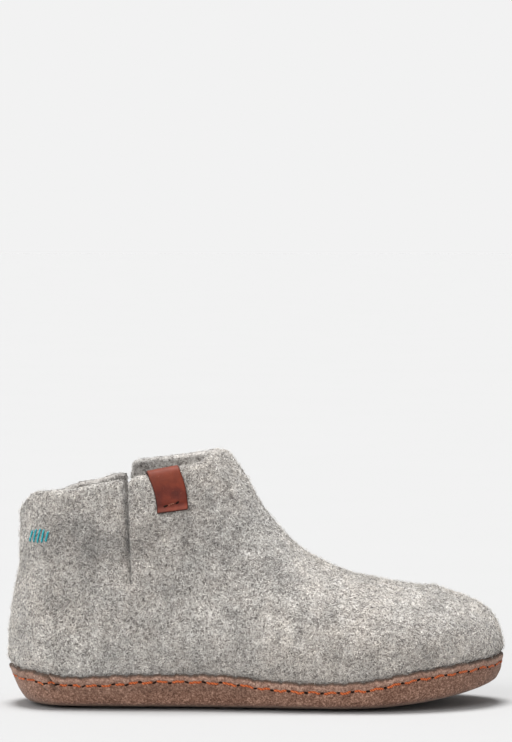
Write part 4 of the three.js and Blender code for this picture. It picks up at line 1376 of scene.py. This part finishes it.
# ---- a short plain row of slanted turquoise stitches near the heel ----------------------------
MENDS = table(
    "x0 z0 x1 z1",
    (13.2, 88.0, 14.8, 94.2), (15.3, 87.6, 16.7, 94.8), (17.3, 87.4, 19.0, 95.2), (19.6, 87.7, 20.9, 94.9), (21.8, 88.3, 23.3, 94.1),
)
parts = []
for k in range(len(MENDS["x0"])):
    a = np.array([MENDS["x0"][k], MENDS["z0"][k]])
    b = np.array([MENDS["x1"][k], MENDS["z1"][k]])
    path, path_n = [], []
    for t in np.linspace(0.02, 0.98, 11):
        q = a + (b - a) * t
        p, n = on_felt(q[0], q[1], -1, -0.35 + 0.95 * float(quarter(t / 0.2) * quarter((1 - t) / 0.2)))
        path.append(p)
        path_n.append(n)
    parts.append(tube(np.array(path), 0.55, normal=np.array(path_n)))
pts, fcs = joined(parts)
make("heel_mend_stitches", pts, fcs, TURQUOISE)

# ---- floor, light, camera ------------------------------------------------------------------
floor_mesh = bpy.data.meshes.new("floor")
reach = 9.0
floor_mesh.from_pydata([(-reach, -3, 0), (reach, -3, 0), (reach, 16, 0), (-reach, 16, 0)], [], [(0, 1, 2, 3)])
floor = bpy.data.objects.new("floor", floor_mesh)
bpy.context.scene.collection.objects.link(floor)
m = Nodes("floor_pale")
paper = m.noise(6.0, 2.0, 0.5)
m.finish(m.ramp(paper, (0.3, (0.4305, 0.4305, 0.4305, 1)), (0.7, (0.4335, 0.4335, 0.4335, 1))), 0.9, None, specular=0.0)
floor_mesh.materials.append(m.material)

BACKDROP, OVERHEAD = 0.888, 0.35
world = bpy.data.worlds.new("studio")
bpy.context.scene.world = world
world.use_nodes = True
sky = world.node_tree
up = sky.nodes.new("ShaderNodeSeparateXYZ")
sky.links.new(sky.nodes.new("ShaderNodeTexCoord").outputs["Generated"], up.inputs[0])
fade = sky.nodes.new("ShaderNodeValToRGB")
sky.links.new(up.outputs["Z"], fade.inputs["Fac"])
fade.color_ramp.elements[0].position, fade.color_ramp.elements[0].color = 0.20, (BACKDROP, BACKDROP, BACKDROP, 1)
fade.color_ramp.elements[1].position, fade.color_ramp.elements[1].color = 0.50, (OVERHEAD, OVERHEAD, OVERHEAD, 1)
sky.links.new(fade.outputs["Color"], sky.nodes["Background"].inputs["Color"])
sky.nodes["Background"].inputs["Strength"].default_value = 1.0


def sun(name, energy, direction, angle):
    data = bpy.data.lights.new(name, "SUN")
    data.energy, data.angle = energy, math.radians(angle)
    lamp = bpy.data.objects.new(name, data)
    lamp.rotation_euler = Vector(direction).to_track_quat("-Z", "Y").to_euler()
    bpy.context.scene.collection.objects.link(lamp)


sun("key", 1.7, (0.42, 0.76, -0.5), 40)
sun("top", 4.3, (0.05, -0.08, -1.0), 24)

camera_data = bpy.data.cameras.new("camera")
camera_data.lens, camera_data.sensor_width = 199.0, 36.0
camera_data.clip_end = 100.0
camera = bpy.data.objects.new("camera", camera_data)
bpy.context.scene.collection.objects.link(camera)
ELEVATION, DISTANCE, DOWN = 5.7, 2.2, 2.50
aim = np.array([0.0, 0.0, 0.055])
e = math.radians(ELEVATION)
camera.location = Vector(aim + DISTANCE * np.array([0.0, -math.cos(e), math.sin(e)]))
camera.rotation_euler = (math.radians(90 - DOWN), 0, 0)
bpy.context.scene.camera = camera
bpy.context.scene.view_settings.view_transform = "Standard"
bpy.context.scene.view_settings.look = "None"

bpy.context.view_layer.update()
